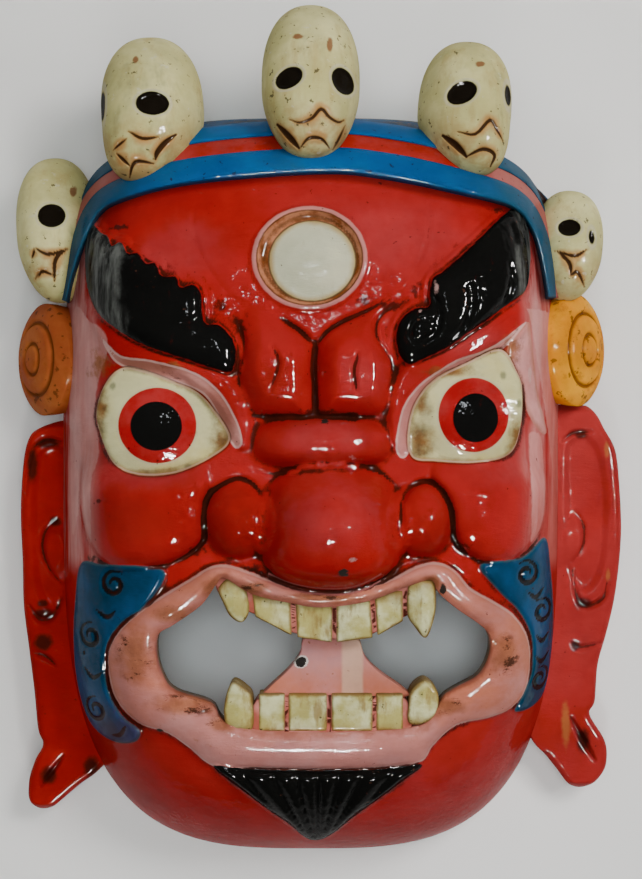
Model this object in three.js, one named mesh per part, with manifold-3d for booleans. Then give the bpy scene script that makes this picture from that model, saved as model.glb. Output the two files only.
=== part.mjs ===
import * as THREE from 'three';
import Module from 'manifold-3d';
import { mergeVertices } from 'three/addons/utils/BufferGeometryUtils.js';

const wasm = await Module();
wasm.setup();

// All sizes are millimetres. The mask lies on its flat back rim with the face up.
// +X runs to the viewer's right, +Y to the crown, +Z out of the face.

// Head block: rounded box plan with sides that lean in towards the face
const head = { halfWidth: 123, halfLength: 181, height: 104, centreX: -5, centreY: -22 };
const cornerPower = { crown: 4, chin: 3.2 };
const sideRound = 5;
const crownRound = 8;
const flatTop = 1.6;
const headSectors = 32;
const headRings = 7;

// Hollow back
const wall = 15;
const rimWidth = 13;
const hollowSectors = 22;
const hollowRings = 4;

// Nose, wings, bridge roll and cheeks: centre, half sizes, top height and depth of the ball
const nose = { at: [4.5, -39], half: [34, 28], top: 140, deep: 44 };
const noseSides = 14;
const noseRings = 10;
const wingLeft = { at: [-37, -37.5], half: [13.5, 17], top: 116, deep: 26 };
const wingRight = { at: [45, -36.5], half: [13, 17], top: 116, deep: 26 };
const bridgeRoll = { at: [0.5, -1.5], half: [33.5, 13], top: 123, deep: 28 };
const cheekLeft = { at: [-79, -35], half: [35, 27], top: 115, deep: 32 };
const cheekRight = { at: [79, -31], half: [30, 29], top: 115, deep: 32 };

// Knots between the brows: two broad cushions, each with a slit, parted by a forked groove
const knotLeft = [[-36, 29], [-33, 41], [-26, 48], [-13, 52], [-3, 45], [-2.5, 30], [-3, 15], [-9, 10.5],
  [-26, 11], [-34, 18]];
const knotRight = [[0, 45], [10, 51], [24, 57], [28, 46], [31, 36], [31, 22], [25, 12], [8, 10.5],
  [1, 15], [-0.5, 30]];
const knotLift = 12;
const knotBevel = 5;
const knotStations = 14;
const knotSlitWidth = 2.4;
const knotSlitDepth = 5;

// Depth to which raised areas are rooted in the block
const sink = 12;

// Height that the upright cutters reach past the face, and that groove cutters stand over it
const cutTop = 150;
const grooveClear = 14;

// Eyes: a ball sitting in a cut socket
const eyeSocketDepth = 5;
const eyeStations = 16;
const eyeFloor = 60;
const eyePocketBevel = 0.01;
const eyeTopGap = 1.2;
const eyeBallSides = 12;
const eyeBallRings = 8;
const eyeLeft = [[-103, 15], [-97, 27], [-88, 33], [-76, 31], [-62, 24.5], [-49, 14], [-41, -1],
  [-53.5, -8], [-72, -15], [-88, -15], [-99, -4]];
const eyeRight = [[37, -5], [38.5, 5], [43.5, 17], [57.5, 29.5], [80, 41], [88, 35], [93, 22],
  [93, 10], [87, -4], [69.5, -10], [48, -9]];
const eyeBallLeft = { at: [-73, 7], half: [42, 34], top: 104, deep: 26 };
const eyeBallRight = { at: [67, 12], half: [40, 36], top: 104, deep: 26 };

// Lids: raised fold above each eye
const lidLift = 4.5;
const lidBevel = 1.4;
const lidStations = 18;
const lidLeft = [[-106, 52], [-98, 52], [-84, 44], [-62, 36], [-46, 31], [-37, 24], [-31, 8], [-33, -3],
  [-38, -1], [-41, 10], [-52, 22], [-67, 31], [-84, 35], [-95, 40]];
const lidRight = [[96, 60], [84, 56], [68, 46], [52, 37], [38, 32], [32, 20], [31, 2], [37, -6],
  [36.5, 0], [41, 16], [56, 31], [78, 42.5], [92, 48]];

// Brows: carved hair standing above the lids
const browLift = 10;
const browBevel = 2.2;
const browStations = 26;
const browLeft = [[-110, 103], [-104, 97], [-98, 94], [-91.5, 89], [-87, 84], [-80, 81], [-69, 74],
  [-64, 69.5], [-57, 68.5], [-53.5, 64], [-53, 56.5], [-50, 51], [-44, 50], [-38, 44], [-37, 38],
  [-40, 30], [-50, 31.5], [-62.5, 36], [-75, 40], [-86.5, 46], [-98, 54], [-104, 61], [-109, 74]];
const browRight = [[94, 109], [86.5, 105], [78.5, 98], [67, 87], [55.5, 76.5], [49.5, 71], [48, 60],
  [42, 58], [36, 53], [33.5, 47], [34.5, 38], [39, 33.5], [47, 36], [56.5, 41], [67, 49], [83, 59],
  [94, 68], [97, 82], [96.5, 100]];
const browGrooveWidth = 2.6;
const browGrooveDepth = 3.2;
const browSpiral = { at: [47, 47.5], outer: 10, inner: 3, turns: 1.35 };

// Rims: thin raised edge that follows the upper side of each brow
const rimLineWidth = 2.6;
const rimLineLift = 6;
const rimLineBevel = 0.6;
const rimLineSink = 10;
const rimLineSteps = 7;
const rimLineStations = 16;
const rimLeftPath = [[-108, 107], [-94, 97], [-84, 88], [-72, 82], [-58, 74], [-47, 62], [-40, 53],
  [-37, 46]];
const rimRightPath = [[93, 114], [80, 104], [66, 91], [52, 79], [43.5, 69], [38, 60], [31, 51], [29, 44]];

// Third eye: ring round a shallow dish
const thirdEye = { at: [-5.5, 83], ringHalf: [28, 25], dishHalf: [21, 19.5], lift: 4.5, bevel: 2.5,
  dishDepth: 3.5 };
const thirdEyeSides = 18;

// Lips: a rounded ring between an outer and an inner outline, starting at the middle of the top
const lipOuter = [[0, -68], [-21, -63], [-40, -56], [-52, -57.5], [-65, -65.5], [-89, -83.5],
  [-97.5, -104], [-93, -120], [-82, -129.5], [-66, -135], [-48, -148], [-26, -149], [0, -149.5],
  [26, -149], [45, -146.5], [61, -130], [80, -127], [93, -119], [97.5, -103], [90, -82], [66, -66],
  [53, -55], [43, -56], [22, -64]];
const lipInner = [[0, -75], [-14, -73], [-31, -69], [-45, -64], [-53, -74], [-66, -83.5], [-74.5, -93],
  [-73, -105], [-67, -113], [-58, -115.5], [-45, -125], [-28, -131], [0, -132], [28, -131],
  [44, -127.5], [56, -116], [67, -110.5], [74, -105], [77.5, -95], [74, -85], [60, -76], [50, -65],
  [38, -67], [20, -72.5]];
const lipLift = 7;
const lipSteps = 3;
const lipStations = 25;
const lipDepth = 16;

// Teeth, fangs and tongue
const teethTop = { y: -72, height: 18, front: 102, back: 84,
  xs: [[-31.5, -15], [-13, 4.5], [7, 22.5], [24.5, 36]] };
const teethLow = { y: -131, height: 15.5, front: 98, back: 80,
  xs: [[-30, -17.5], [-15, 3], [5, 23], [25.5, 37.5]] };
const toothDrop = [0, 3, 3, 0];
const toothRoot = 3;
const toothBevel = 1.8;
const fangStations = 7;
const fangUpper = { front: 105, back: 84 };
const fangLower = { front: 101, back: 80 };
const fangUpperLeft = [[-46, -66], [-40, -61.5], [-33, -64.5], [-32.5, -78], [-37, -82], [-43, -75]];
const fangUpperRight = [[39, -64], [48, -62.5], [51, -70], [50.5, -80], [46.5, -89.5], [41, -85], [38, -77]];
const fangLowerLeft = [[-43.5, -123], [-42, -112], [-39, -108.5], [-31.5, -114.5], [-30.5, -130], [-40, -130]];
const fangLowerRight = [[47, -108], [40, -113], [39.5, -127], [45, -128], [52, -123], [52.5, -115]];
const fangs = [
  { ...fangUpper, outline: fangUpperLeft }, { ...fangUpper, outline: fangUpperRight },
  { ...fangLower, outline: fangLowerLeft }, { ...fangLower, outline: fangLowerRight },
];
const tongue = { front: 92, back: 78, bevel: 2, stations: 16,
  outline: [[-8, -91], [-10, -99], [-18, -108], [-27, -116], [0, -117.5], [37, -115.5], [28, -109],
    [20, -102], [16, -92]] };
const gumTop = { x: 4, y: -68, width: 96, length: 16, front: 96, back: 80 };
const gumLow = { x: 4, y: -126, width: 96, length: 18, front: 93, back: 78 };

// Side beards: flat strips with carved curls
const beardLift = 4;
const beardBevel = 1.5;
const beardStations = 20;
const beardLeft = [[-112, -58], [-100, -55.5], [-78, -56], [-71, -62], [-80, -76], [-92, -84], [-98.5, -96],
  [-98.5, -113], [-92, -126], [-83, -133], [-86, -139], [-98, -140.5], [-111, -134], [-117, -118],
  [-118, -98], [-116, -78]];
const beardRight = [[105, -48], [92, -54], [72, -56], [79, -67], [91, -79], [97.5, -92], [98, -108],
  [94, -118], [90, -126], [101, -126], [110, -120], [112.5, -104], [112, -84], [109, -62]];
const curlWidth = 2.4;
const curlDepth = 3;
const curls = [
  { at: [-94, -66], outer: 6.5, hand: 1 }, { at: [-107, -90], outer: 6, hand: 1 },
  { at: [-107, -127], outer: 6, hand: 1 }, { at: [96, -63], outer: 6, hand: -1 },
  { at: [104.5, -82], outer: 5, hand: -1 }, { at: [104, -115], outer: 5.5, hand: -1 },
];

// Chin beard: a fan of flutes under the lip
const chin = { halfWidth: 47, top: -148, tip: -190, lift: 7, flutes: 11, fluteDepth: 2.6 };

// Crown: three stripes that wrap round the temples, from the brow side outwards
const crownPath = [[-119.5, 65], [-114.5, 80.5], [-109, 93], [-102, 104], [-90.5, 109], [-57, 115.5],
  [0, 119.8], [28, 117.5], [64.5, 110.6], [88, 106], [97.5, 97], [102, 84], [105.5, 66]];
const stripes = [{ width: 12.5, lift: 8 }, { width: 9.2, lift: 5.5 }, { width: 9.5, lift: 7.5 }];
const stripeOverlap = 1;
const stripeBevel = 1.2;
const stripeStandoff = 3;
const stripeFloor = 18;
const stripeSink = 34;
const stripeLowest = 4;

// Skulls: centre, half sizes, height of the middle, depth, outward lean, turn, drift of the jaw,
// sockets and how far the mouth lies below the centre
const skullMiddle = { at: [-4.7, 163], half: [22.4, 37], mid: 88, deep: 28, lean: 0, turn: 0,
  jawShift: 0, eyes: [[-15, 165], [10, 164]], mouthDrop: 27 };
const skullLeft = { at: [-77.7, 152.2], half: [23.3, 35.3], mid: 76, deep: 28, lean: -0.2, turn: 0.06,
  jawShift: -5, eyes: [[-77.5, 154.5]], mouthDrop: 26 };
const skullRight = { at: [66.2, 152.8], half: [21.3, 32.5], mid: 76, deep: 28, lean: 0.2, turn: -0.08,
  jawShift: 5, eyes: [[65, 159.5]], mouthDrop: 23 };
const skullFarLeft = { at: [-126.5, 101], half: [19, 36], mid: 36, deep: 26, lean: -0.35, turn: 0.1,
  jawShift: 0, eyes: [[-129, 107.5]], mouthDrop: 24 };
const skullFarRight = { at: [118.5, 93.5], half: [16.5, 27.5], mid: 35, deep: 25, lean: 0.3,
  turn: -0.12, jawShift: 0, eyes: [[119.5, 102]], mouthDrop: 18 };
const skulls = [skullMiddle, skullLeft, skullRight, skullFarLeft, skullFarRight];
const skullTilt = 0.3;
const skullJaw = 0.92;
const skullFull = 2.3;
const socketHalf = [7.2, 5.6];
const socketDepth = 5;
const socketSides = 6;
const socketRings = 4;
const skullGrooveWidth = 2.2;
const skullGrooveDepth = 3;
const mouthBow = { radius: 10, below: 7, from: 0.82, to: 0.18 };

// Ears: long slabs beside the head with carved folds
const earLift = 22;
const earBase = 2;
const earTop = earBase + earLift;
const earStations = 19;
const earBevel = 3;
const earLeft = [[-112, 8], [-128, 11.5], [-138, 8], [-144.5, -8], [-147, -38], [-146.5, -68], [-144, -100],
  [-140.5, -132], [-137, -147], [-142, -161], [-144, -173], [-138, -181], [-130, -180], [-120, -171],
  [-106, -160], [-104, -80], [-106, -20]];
const earRight = [[102, 14], [118, 17.5], [129.5, 15.5], [136, 8], [144, -9], [147, -30], [146.5, -52],
  [142, -82], [136, -108], [134, -130], [131.5, -135], [138.5, -148], [140, -158], [135, -167],
  [128, -170], [118, -164], [106, -148], [98, -120], [96, -40]];
const earGrooveWidth = 2.6;
const earGrooveDepth = 4;
const earBump = { half: [8, 13], lift: 4, deep: 12 };
const earBumpSides = 8;
const earBumpRings = 6;
const earBumps = [[-133, -50], [126, -46]];

// Roundels: domed studs with ring grooves, tipped outwards above the ears
const roundel = { radius: 27, thick: 13, ringRadius: 17.5, ringDepth: 2.2, centreRadius: 6.5,
  backDepth: 13, tip: 0.98, sides: 11 };
const roundelLeft = [-129, 38.5, 33];
const roundelRight = [119.5, 43, 33];

// Web of wood left between the right roundel and the skull above it
const web = { at: [114, 67], half: [10, 9], top: 40, deep: 18 };
const webSides = 6;
const webRings = 4;

// Height of the bare head block over the rim, for a block grown or shrunk by an even amount
function blockHeight(x, y, grow = 0) {
  const up = y > head.centreY;
  const power = up ? cornerPower.crown : cornerPower.chin;
  const u = Math.abs(x - head.centreX) / (head.halfWidth + grow);
  const v = Math.abs(y - head.centreY) / (head.halfLength + grow);
  const reach = Math.pow(u ** power + v ** power, 1 / power);
  return profileHeight(reach, u, up ? v : 0, head.height + grow);
}

function profileHeight(reach, u, v, height) {
  const share = v * v / (u * u + v * v + 1e-9);
  const round = sideRound + (crownRound - sideRound) * share;
  return height * Math.pow(Math.max(0, 1 - Math.min(1, reach) ** round), 1 / flatTop);
}

// Closed solid for the manifold joins
function solid(geometry) {
  geometry.deleteAttribute('normal');
  geometry.deleteAttribute('uv');
  const merged = mergeVertices(geometry, 1e-3);
  const vertProperties = Float32Array.from(merged.attributes.position.array);
  const triVerts = Uint32Array.from(merged.index.array);
  return new wasm.Manifold(new wasm.Mesh({ numProp: 3, vertProperties, triVerts }));
}

function moveEach(geometry, change) {
  const points = geometry.attributes.position;
  const v = new THREE.Vector3();
  for (let i = 0; i < points.count; i += 1) {
    v.fromBufferAttribute(points, i);
    change(v);
    points.setXYZ(i, v.x, v.y, v.z);
  }
  return geometry;
}

// Head block as a turned profile squared up to the rounded-box plan
function block(grow, rings, sectors, plan = grow, low = 0) {
  const profile = [new THREE.Vector2(0, -1), new THREE.Vector2(1, -1)];
  for (let i = 1; i <= rings; i += 1) {
    profile.push(new THREE.Vector2(Math.pow(1 - i / rings, 0.55), 1));
  }
  const turned = new THREE.LatheGeometry(profile, sectors);
  moveEach(turned, (v) => {
    const reach = Math.hypot(v.x, v.z);
    const bottom = v.y < 0;
    const angle = Math.atan2(-v.z, v.x);
    const c = Math.cos(angle);
    const s = Math.sin(angle);
    const power = s > 0 ? cornerPower.crown : cornerPower.chin;
    const r = reach / Math.pow(Math.abs(c) ** power + Math.abs(s) ** power, 1 / power);
    const u = r * Math.abs(c);
    const w = r * Math.abs(s);
    const z = bottom ? low : profileHeight(reach, u, s > 0 ? w : 0, head.height + grow);
    const x = head.centreX + (head.halfWidth + plan) * r * c;
    const y = head.centreY + (head.halfLength + plan) * r * s;
    v.set(x, y, z);
  });
  return solid(turned);
}

// Rounded mass given by its plan, its top and how deep it reaches
function mass({ at, half, top, deep }, sides = 12, rings = 7) {
  const ball = new THREE.SphereGeometry(1, sides, rings);
  ball.rotateX(Math.PI / 2);
  ball.scale(half[0], half[1], deep);
  ball.translate(at[0], at[1], top - deep);
  return solid(ball);
}

function smoothPath(points, closed) {
  const flat = points.map(([x, y]) => new THREE.Vector3(x, y, 0));
  return new THREE.CatmullRomCurve3(flat, closed, 'centripetal');
}

function closedShape(points, count) {
  const spaced = smoothPath(points, true).getSpacedPoints(count).slice(0, -1);
  return new THREE.Shape(spaced.map((p) => new THREE.Vector2(p.x, p.y)));
}

function straightShape(points) {
  return new THREE.Shape(points.map(([x, y]) => new THREE.Vector2(x, y)));
}

// Plate one unit thick with one bevel on its edges, for the slabs below to set to height
function bevelled(shape, bevel) {
  return new THREE.ExtrudeGeometry(shape, {
    depth: 1, steps: 1, bevelEnabled: true, bevelThickness: 1, bevelSize: bevel, bevelOffset: -bevel,
    bevelSegments: 1,
  });
}

function plain(shape, depth = 1) {
  return new THREE.ExtrudeGeometry(shape, { depth, steps: 1, bevelEnabled: false });
}

// Slab with a bevelled upper edge that follows the head block
function raised(points, lift, bevel, below, count) {
  const geometry = bevelled(closedShape(points, count), bevel);
  moveEach(geometry, (v) => {
    const surface = blockHeight(v.x, v.y);
    if (v.z < 0.5) {
      v.z = surface - below;
    } else {
      v.z = v.z > 1.5 ? surface + lift : surface + lift - bevel;
    }
  });
  return solid(geometry);
}

// Straight-sided slab between two heights, bevelled on its upper edge
function slab(points, low, high, bevel, count = points.length) {
  const shape = count === points.length ? straightShape(points) : closedShape(points, count);
  const geometry = bevelled(shape, bevel);
  moveEach(geometry, (v) => {
    if (v.z < 0.5) {
      v.z = low;
    } else {
      v.z = v.z > 1.5 ? high : high - bevel;
    }
  });
  return solid(geometry);
}

// Strip outline of one width along an open path
function ribbon(points, width, steps = 10) {
  const curve = smoothPath(points, false);
  const left = [];
  const right = [];
  for (let i = 0; i <= steps; i += 1) {
    const p = curve.getPointAt(i / steps);
    const d = curve.getTangentAt(i / steps);
    const half = width * 0.5 * (i === 0 || i === steps ? 0.45 : 1);
    left.push([p.x - d.y * half, p.y + d.x * half]);
    right.push([p.x + d.y * half, p.y - d.x * half]);
  }
  return [...left, ...right.reverse()];
}

// Cutter for a carved line: follows the surface it is cut into
function groove(path, width, depth, surface, steps = 8) {
  const geometry = plain(straightShape(ribbon(path, width, steps)));
  moveEach(geometry, (v) => {
    v.z = surface(v.x, v.y) + (v.z < 0.5 ? -depth : grooveClear);
  });
  return solid(geometry);
}

function spiral([x, y], outer, inner, turns, hand, start = 0, steps = 12) {
  const points = [];
  for (let i = 0; i <= steps; i += 1) {
    const angle = start + hand * turns * 2 * Math.PI * i / steps;
    const r = outer + (inner - outer) * i / steps;
    points.push([x + r * Math.cos(angle), y + r * Math.sin(angle)]);
  }
  return points;
}

function arc([x, y], radius, from, to, steps = 5) {
  const points = [];
  for (let i = 0; i <= steps; i += 1) {
    const angle = from + (to - from) * i / steps;
    points.push([x + radius * Math.cos(angle), y + radius * Math.sin(angle)]);
  }
  return points;
}

const onBlock = (lift) => (x, y) => blockHeight(x, y) + lift;

// Ring of lip between the two outlines, closed underneath
function lips() {
  const outer = closedShape(lipOuter, lipStations).getPoints();
  const inner = closedShape(lipInner, lipStations).getPoints();
  const ring = new THREE.TorusGeometry(1, 0.5, lipSteps + 2, lipStations);
  const around = lipStations;
  const across = lipSteps + 2;
  const points = ring.attributes.position;
  for (let j = 0; j <= across; j += 1) {
    for (let i = 0; i <= around; i += 1) {
      const o = outer[i % around];
      const n = inner[i % around];
      const k = j % across;
      const top = k <= lipSteps;
      const share = top ? k / lipSteps : 1 - (k - lipSteps) / 2;
      const x = o.x + (n.x - o.x) * share;
      const y = o.y + (n.y - o.y) * share;
      const base = blockHeight(x, y);
      const swell = Math.sin(Math.PI * (0.12 + 0.76 * share)) * lipLift;
      points.setXYZ(j * (around + 1) + i, x, y, top ? base + swell - 2 : base - lipDepth);
    }
  }
  return solid(ring);
}

// Fan of pointed flutes narrowing to the tip
function chinBeard() {
  const across = chin.flutes * 2;
  const down = 2;
  const sheet = new THREE.BoxGeometry(2, 1, 1, across, down, 1);
  moveEach(sheet, (v) => {
    const along = 0.5 - v.y;
    const column = Math.round((v.x + 1) * 0.5 * across);
    const half = chin.halfWidth * (1 - along) ** 0.85 + 1.2;
    const y = chin.top + (chin.tip - chin.top) * along;
    const x = v.x * half - 1.5;
    const ridge = column % 2 === 0 ? 0 : chin.fluteDepth;
    const edge = 1 - Math.abs(v.x) ** 4;
    const base = blockHeight(x, y);
    v.set(x, y, v.z > 0 ? base + chin.lift * edge + ridge * (1 - 0.6 * along) - 1.5 : base - sink);
  });
  return solid(sheet);
}

// One crown stripe: a strip beside the base path, wrapped over the block
function stripe(from, width, lift) {
  const curve = smoothPath(crownPath, false);
  const steps = 12;
  const near = [];
  const far = [];
  for (let i = 0; i <= steps; i += 1) {
    const p = curve.getPointAt(i / steps);
    const d = curve.getTangentAt(i / steps);
    const squeeze = 1 - 0.55 * Math.abs(2 * i / steps - 1) ** 3;
    near.push([p.x - d.y * from * squeeze, p.y + d.x * from * squeeze]);
    far.push([p.x - d.y * (from + width) * squeeze, p.y + d.x * (from + width) * squeeze]);
  }
  const geometry = bevelled(straightShape([...near, ...far.reverse()]), stripeBevel);
  moveEach(geometry, (v) => {
    const surface = Math.max(stripeFloor, blockHeight(v.x, v.y, stripeStandoff));
    if (v.z < 0.5) {
      v.z = Math.max(stripeLowest, surface - stripeSink);
    } else {
      v.z = v.z > 1.5 ? surface + lift : surface + lift - stripeBevel;
    }
  });
  return solid(geometry);
}

// Skull: a ball drawn in towards the jaw and leaning back, with sockets and a carved mouth
function skull({ at, half, mid, deep, lean, turn, jawShift, eyes, mouthDrop }) {
  const ball = new THREE.IcosahedronGeometry(1, 2);
  const cos = Math.cos(turn);
  const sin = Math.sin(turn);
  const frontAt = (x, y) => {
    const flat = 1 - ((x - at[0]) / half[0]) ** 2 - ((y - at[1]) / half[1]) ** 2;
    return mid + deep * Math.sqrt(Math.max(0.05, flat)) + lean * (x - at[0]) - skullTilt * (y - at[1]);
  };
  moveEach(ball, (v) => {
    const jaw = THREE.MathUtils.smoothstep(-v.y, 0.15, 0.95);
    const spread = (Math.abs(v.x) ** skullFull + Math.abs(v.y) ** skullFull + 1e-9) ** (1 / skullFull);
    const plan = Math.hypot(v.x, v.y) / spread;
    const x = v.x * plan * (1 - (1 - skullJaw) * jaw) * half[0] + jawShift * jaw;
    const y = v.y * plan * half[1];
    const z = mid + v.z * deep + lean * x - skullTilt * y;
    v.set(at[0] + x * cos - y * sin, at[1] + x * sin + y * cos, z);
  });
  let piece = solid(ball);
  for (const [x, y] of eyes) {
    const top = frontAt(x, y) + socketDepth;
    const socket = { at: [x, y], half: socketHalf, top, deep: socketDepth * 2 };
    piece = piece.subtract(mass(socket, socketSides, socketRings));
  }
  const mouthAt = [at[0] + jawShift, at[1] - mouthDrop - mouthBow.below];
  const line = arc(mouthAt, mouthBow.radius, Math.PI * mouthBow.from, Math.PI * mouthBow.to);
  return piece.subtract(groove(line, skullGrooveWidth, skullGrooveDepth, frontAt, 2));
}

// Roundel: a turned stud tipped to face outwards
function stud([x, y, z], side) {
  const { radius, thick, ringRadius, ringDepth, centreRadius, backDepth } = roundel;
  const rise = (r) => thick * Math.sqrt(Math.max(0, 1 - (r / (radius * 1.08)) ** 2));
  const dome = (r, drop = 0) => [r, rise(r) - drop];
  const line = [[0, -backDepth], [radius - 3, -backDepth], [radius, 0], dome(radius),
    dome(ringRadius + 2), dome(ringRadius, ringDepth), dome(ringRadius - 2),
    dome(centreRadius + 1.5), dome(centreRadius, ringDepth), dome(centreRadius - 2), [0, thick]];
  const turned = new THREE.LatheGeometry(line.map(([r, h]) => new THREE.Vector2(r, h)), roundel.sides);
  turned.rotateX(Math.PI / 2);
  turned.rotateY(side * roundel.tip);
  turned.translate(x, y, z);
  return solid(turned);
}

function earSlab(points) {
  return slab(points, earBase, earTop, earBevel, earStations);
}

function box(x, y, width, length, low, high) {
  const geometry = new THREE.BoxGeometry(width, length, high - low);
  geometry.translate(x, y, (low + high) / 2);
  return solid(geometry);
}

function eyeSolid(outline, ball) {
  const pocket = slab(outline, eyeFloor, cutTop, eyePocketBevel, eyeStations);
  return mass(ball, eyeBallSides, eyeBallRings).intersect(pocket);
}

// Join the masses
let mask = block(0, headRings, headSectors);
for (const form of [cheekLeft, cheekRight]) {
  mask = mask.add(mass(form));
}
for (const outline of [lidLeft, lidRight]) {
  mask = mask.add(raised(outline, lidLift, lidBevel, sink, lidStations));
}

// Eye sockets, then the balls
for (const [outline, ball] of [[eyeLeft, eyeBallLeft], [eyeRight, eyeBallRight]]) {
  const cut = plain(closedShape(outline, eyeStations));
  moveEach(cut, (v) => {
    v.z = v.z < 0.5 ? blockHeight(v.x, v.y) - eyeSocketDepth : cutTop;
  });
  mask = mask.subtract(solid(cut));
  const inner = outline.map(([x, y]) => {
    const pull = 1 - eyeTopGap / Math.hypot(x - ball.at[0], y - ball.at[1]);
    return [ball.at[0] + (x - ball.at[0]) * pull, ball.at[1] + (y - ball.at[1]) * pull];
  });
  mask = mask.add(eyeSolid(inner, ball));
}

// Knots and roll between the eyes, brows with their rims, and the nose
for (const outline of [knotLeft, knotRight]) {
  mask = mask.add(raised(outline, knotLift, knotBevel, sink, knotStations));
}
mask = mask.add(mass(bridgeRoll));
for (const outline of [browLeft, browRight]) {
  mask = mask.add(raised(outline, browLift, browBevel, sink, browStations));
}
for (const path of [rimLeftPath, rimRightPath]) {
  const strip = ribbon(path, rimLineWidth, rimLineSteps);
  mask = mask.add(raised(strip, rimLineLift, rimLineBevel, rimLineSink, rimLineStations));
}
mask = mask.add(mass(wingLeft));
mask = mask.add(mass(wingRight));
mask = mask.add(mass(nose, noseSides, noseRings));

// Third eye
const lastAngle = 2 * Math.PI * (1 - 1 / thirdEyeSides);
const ringOutline = (half) => arc([0, 0], 1, 0, lastAngle, thirdEyeSides - 1)
  .map(([x, y]) => [thirdEye.at[0] + x * half[0], thirdEye.at[1] + y * half[1]]);
mask = mask.add(raised(ringOutline(thirdEye.ringHalf), thirdEye.lift, thirdEye.bevel, sink, thirdEyeSides));
const dish = plain(closedShape(ringOutline(thirdEye.dishHalf), thirdEyeSides));
moveEach(dish, (v) => {
  v.z = v.z < 0.5 ? blockHeight(v.x, v.y) + thirdEye.lift - thirdEye.dishDepth : cutTop;
});
mask = mask.subtract(solid(dish));

// Knot slits and brow carving
const slits = [
  [[-22, 43], [-19, 34], [-22.5, 22]], [[17, 39], [15, 31], [16, 22]],
  [[-1.7, 46], [-1.5, 32], [-1, 12]],
];
for (const path of slits) {
  mask = mask.subtract(groove(path, knotSlitWidth, knotSlitDepth, onBlock(knotLift), 3));
}
const browLines = [
  [[-103, 88], [-96, 78], [-88, 70]], [[-90, 80], [-83, 68], [-72, 60]], [[-76, 74], [-72, 62], [-62, 54]],
  [[-62, 64], [-60, 55], [-52, 45]], [[-98, 68], [-88, 58], [-74, 50]], [[-74, 48], [-62, 45], [-48, 41]],
  [[53, 69], [54, 58], [54, 50]], [[70, 75], [69, 62], [61, 49]], [[90, 90], [91, 80], [84, 66]],
  [[82, 96], [80, 82], [75, 68]],
];
for (const path of browLines) {
  mask = mask.subtract(groove(path, browGrooveWidth, browGrooveDepth, onBlock(browLift), 3));
}
const curl = spiral(browSpiral.at, browSpiral.outer, browSpiral.inner, browSpiral.turns, 1, 0.4);
mask = mask.subtract(groove(curl, browGrooveWidth, browGrooveDepth, onBlock(browLift), 8));

// Side beards with curls, then the lips and the chin beard
for (const outline of [beardLeft, beardRight]) {
  mask = mask.add(raised(outline, beardLift, beardBevel, sink, beardStations));
}
for (const { at, outer, hand } of curls) {
  const path = spiral(at, outer, outer * 0.35, 0.9, hand, hand > 0 ? 0.6 : 2.4, 6);
  mask = mask.subtract(groove(path, curlWidth, curlDepth, onBlock(beardLift), 4));
}
mask = mask.add(lips());
mask = mask.add(chinBeard());

// Crown stripes and skulls
let reach = 0;
for (const { width, lift } of stripes) {
  mask = mask.add(stripe(reach, width, lift));
  reach += width - stripeOverlap;
}
for (const form of skulls) {
  mask = mask.add(skull(form));
}
mask = mask.add(mass(web, webSides, webRings));

// Ears with folds, and the roundels above them
let ears = earSlab(earLeft).add(earSlab(earRight));
for (const at of earBumps) {
  const { half, lift, deep } = earBump;
  const bump = mass({ at, half, top: earTop + lift, deep }, earBumpSides, earBumpRings);
  ears = ears.add(bump);
}
const earLines = [
  [[-120, 4], [-134, 0], [-139, -12], [-140, -40]], [[-124, -62], [-134, -68], [-141, -62]],
  [[-126, -84], [-134, -89], [-142, -84]], [[-124, -100], [-132, -104], [-140, -100]],
  [[-138, -173], [-132, -165], [-125, -158]],
  [[122, 4], [134, -8], [141, -32], [141, -62]], [[125, -63], [130, -76], [140, -70]],
  [[124, -99], [130, -103], [138, -100]], [[124, -137], [130, -148], [136, -158]],
];
for (const path of earLines) {
  ears = ears.subtract(groove(path, earGrooveWidth, earGrooveDepth, () => earTop, 3));
}
mask = mask.add(ears);
mask = mask.add(stud(roundelLeft, -1));
mask = mask.add(stud(roundelRight, 1));

// Hollow the back and open the mouth
mask = mask.subtract(block(-wall, hollowRings, hollowSectors, -rimWidth, -1));
mask = mask.subtract(solid(plain(closedShape(lipInner, lipStations), cutTop)));

// Gums, tongue, teeth and fangs fill the middle of the mouth
const bar = ({ x, y, width, length, back, front }) => box(x, y, width, length, back, front);
mask = mask.add(bar(gumTop));
mask = mask.add(bar(gumLow));
mask = mask.add(slab(tongue.outline, tongue.back, tongue.front, tongue.bevel, tongue.stations));
function tooth({ back, front }, [x0, x1], low, high) {
  return slab([[x0, low], [x1, low], [x1, high], [x0, high]], back, front, toothBevel);
}
teethTop.xs.forEach((span, i) => {
  const hang = teethTop.height - (toothRoot - toothDrop[i]) / 2;
  mask = mask.add(tooth(teethTop, span, teethTop.y - hang, teethTop.y + toothRoot));
});
teethLow.xs.forEach((span) => {
  mask = mask.add(tooth(teethLow, span, teethLow.y, teethLow.y + teethLow.height));
});
for (const { outline, back, front } of fangs) {
  mask = mask.add(slab(outline, back, front, toothBevel, fangStations));
}

// Back to a drawn geometry with the origin at the middle of the base
const mesh = mask.getMesh();
const geometry = new THREE.BufferGeometry();
geometry.setAttribute('position', new THREE.BufferAttribute(Float32Array.from(mesh.vertProperties), 3));
geometry.setIndex(new THREE.BufferAttribute(Uint32Array.from(mesh.triVerts), 1));
geometry.computeBoundingBox();
const middle = geometry.boundingBox.getCenter(new THREE.Vector3());
geometry.translate(-middle.x, -middle.y, -geometry.boundingBox.min.z);
geometry.computeVertexNormals();

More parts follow.
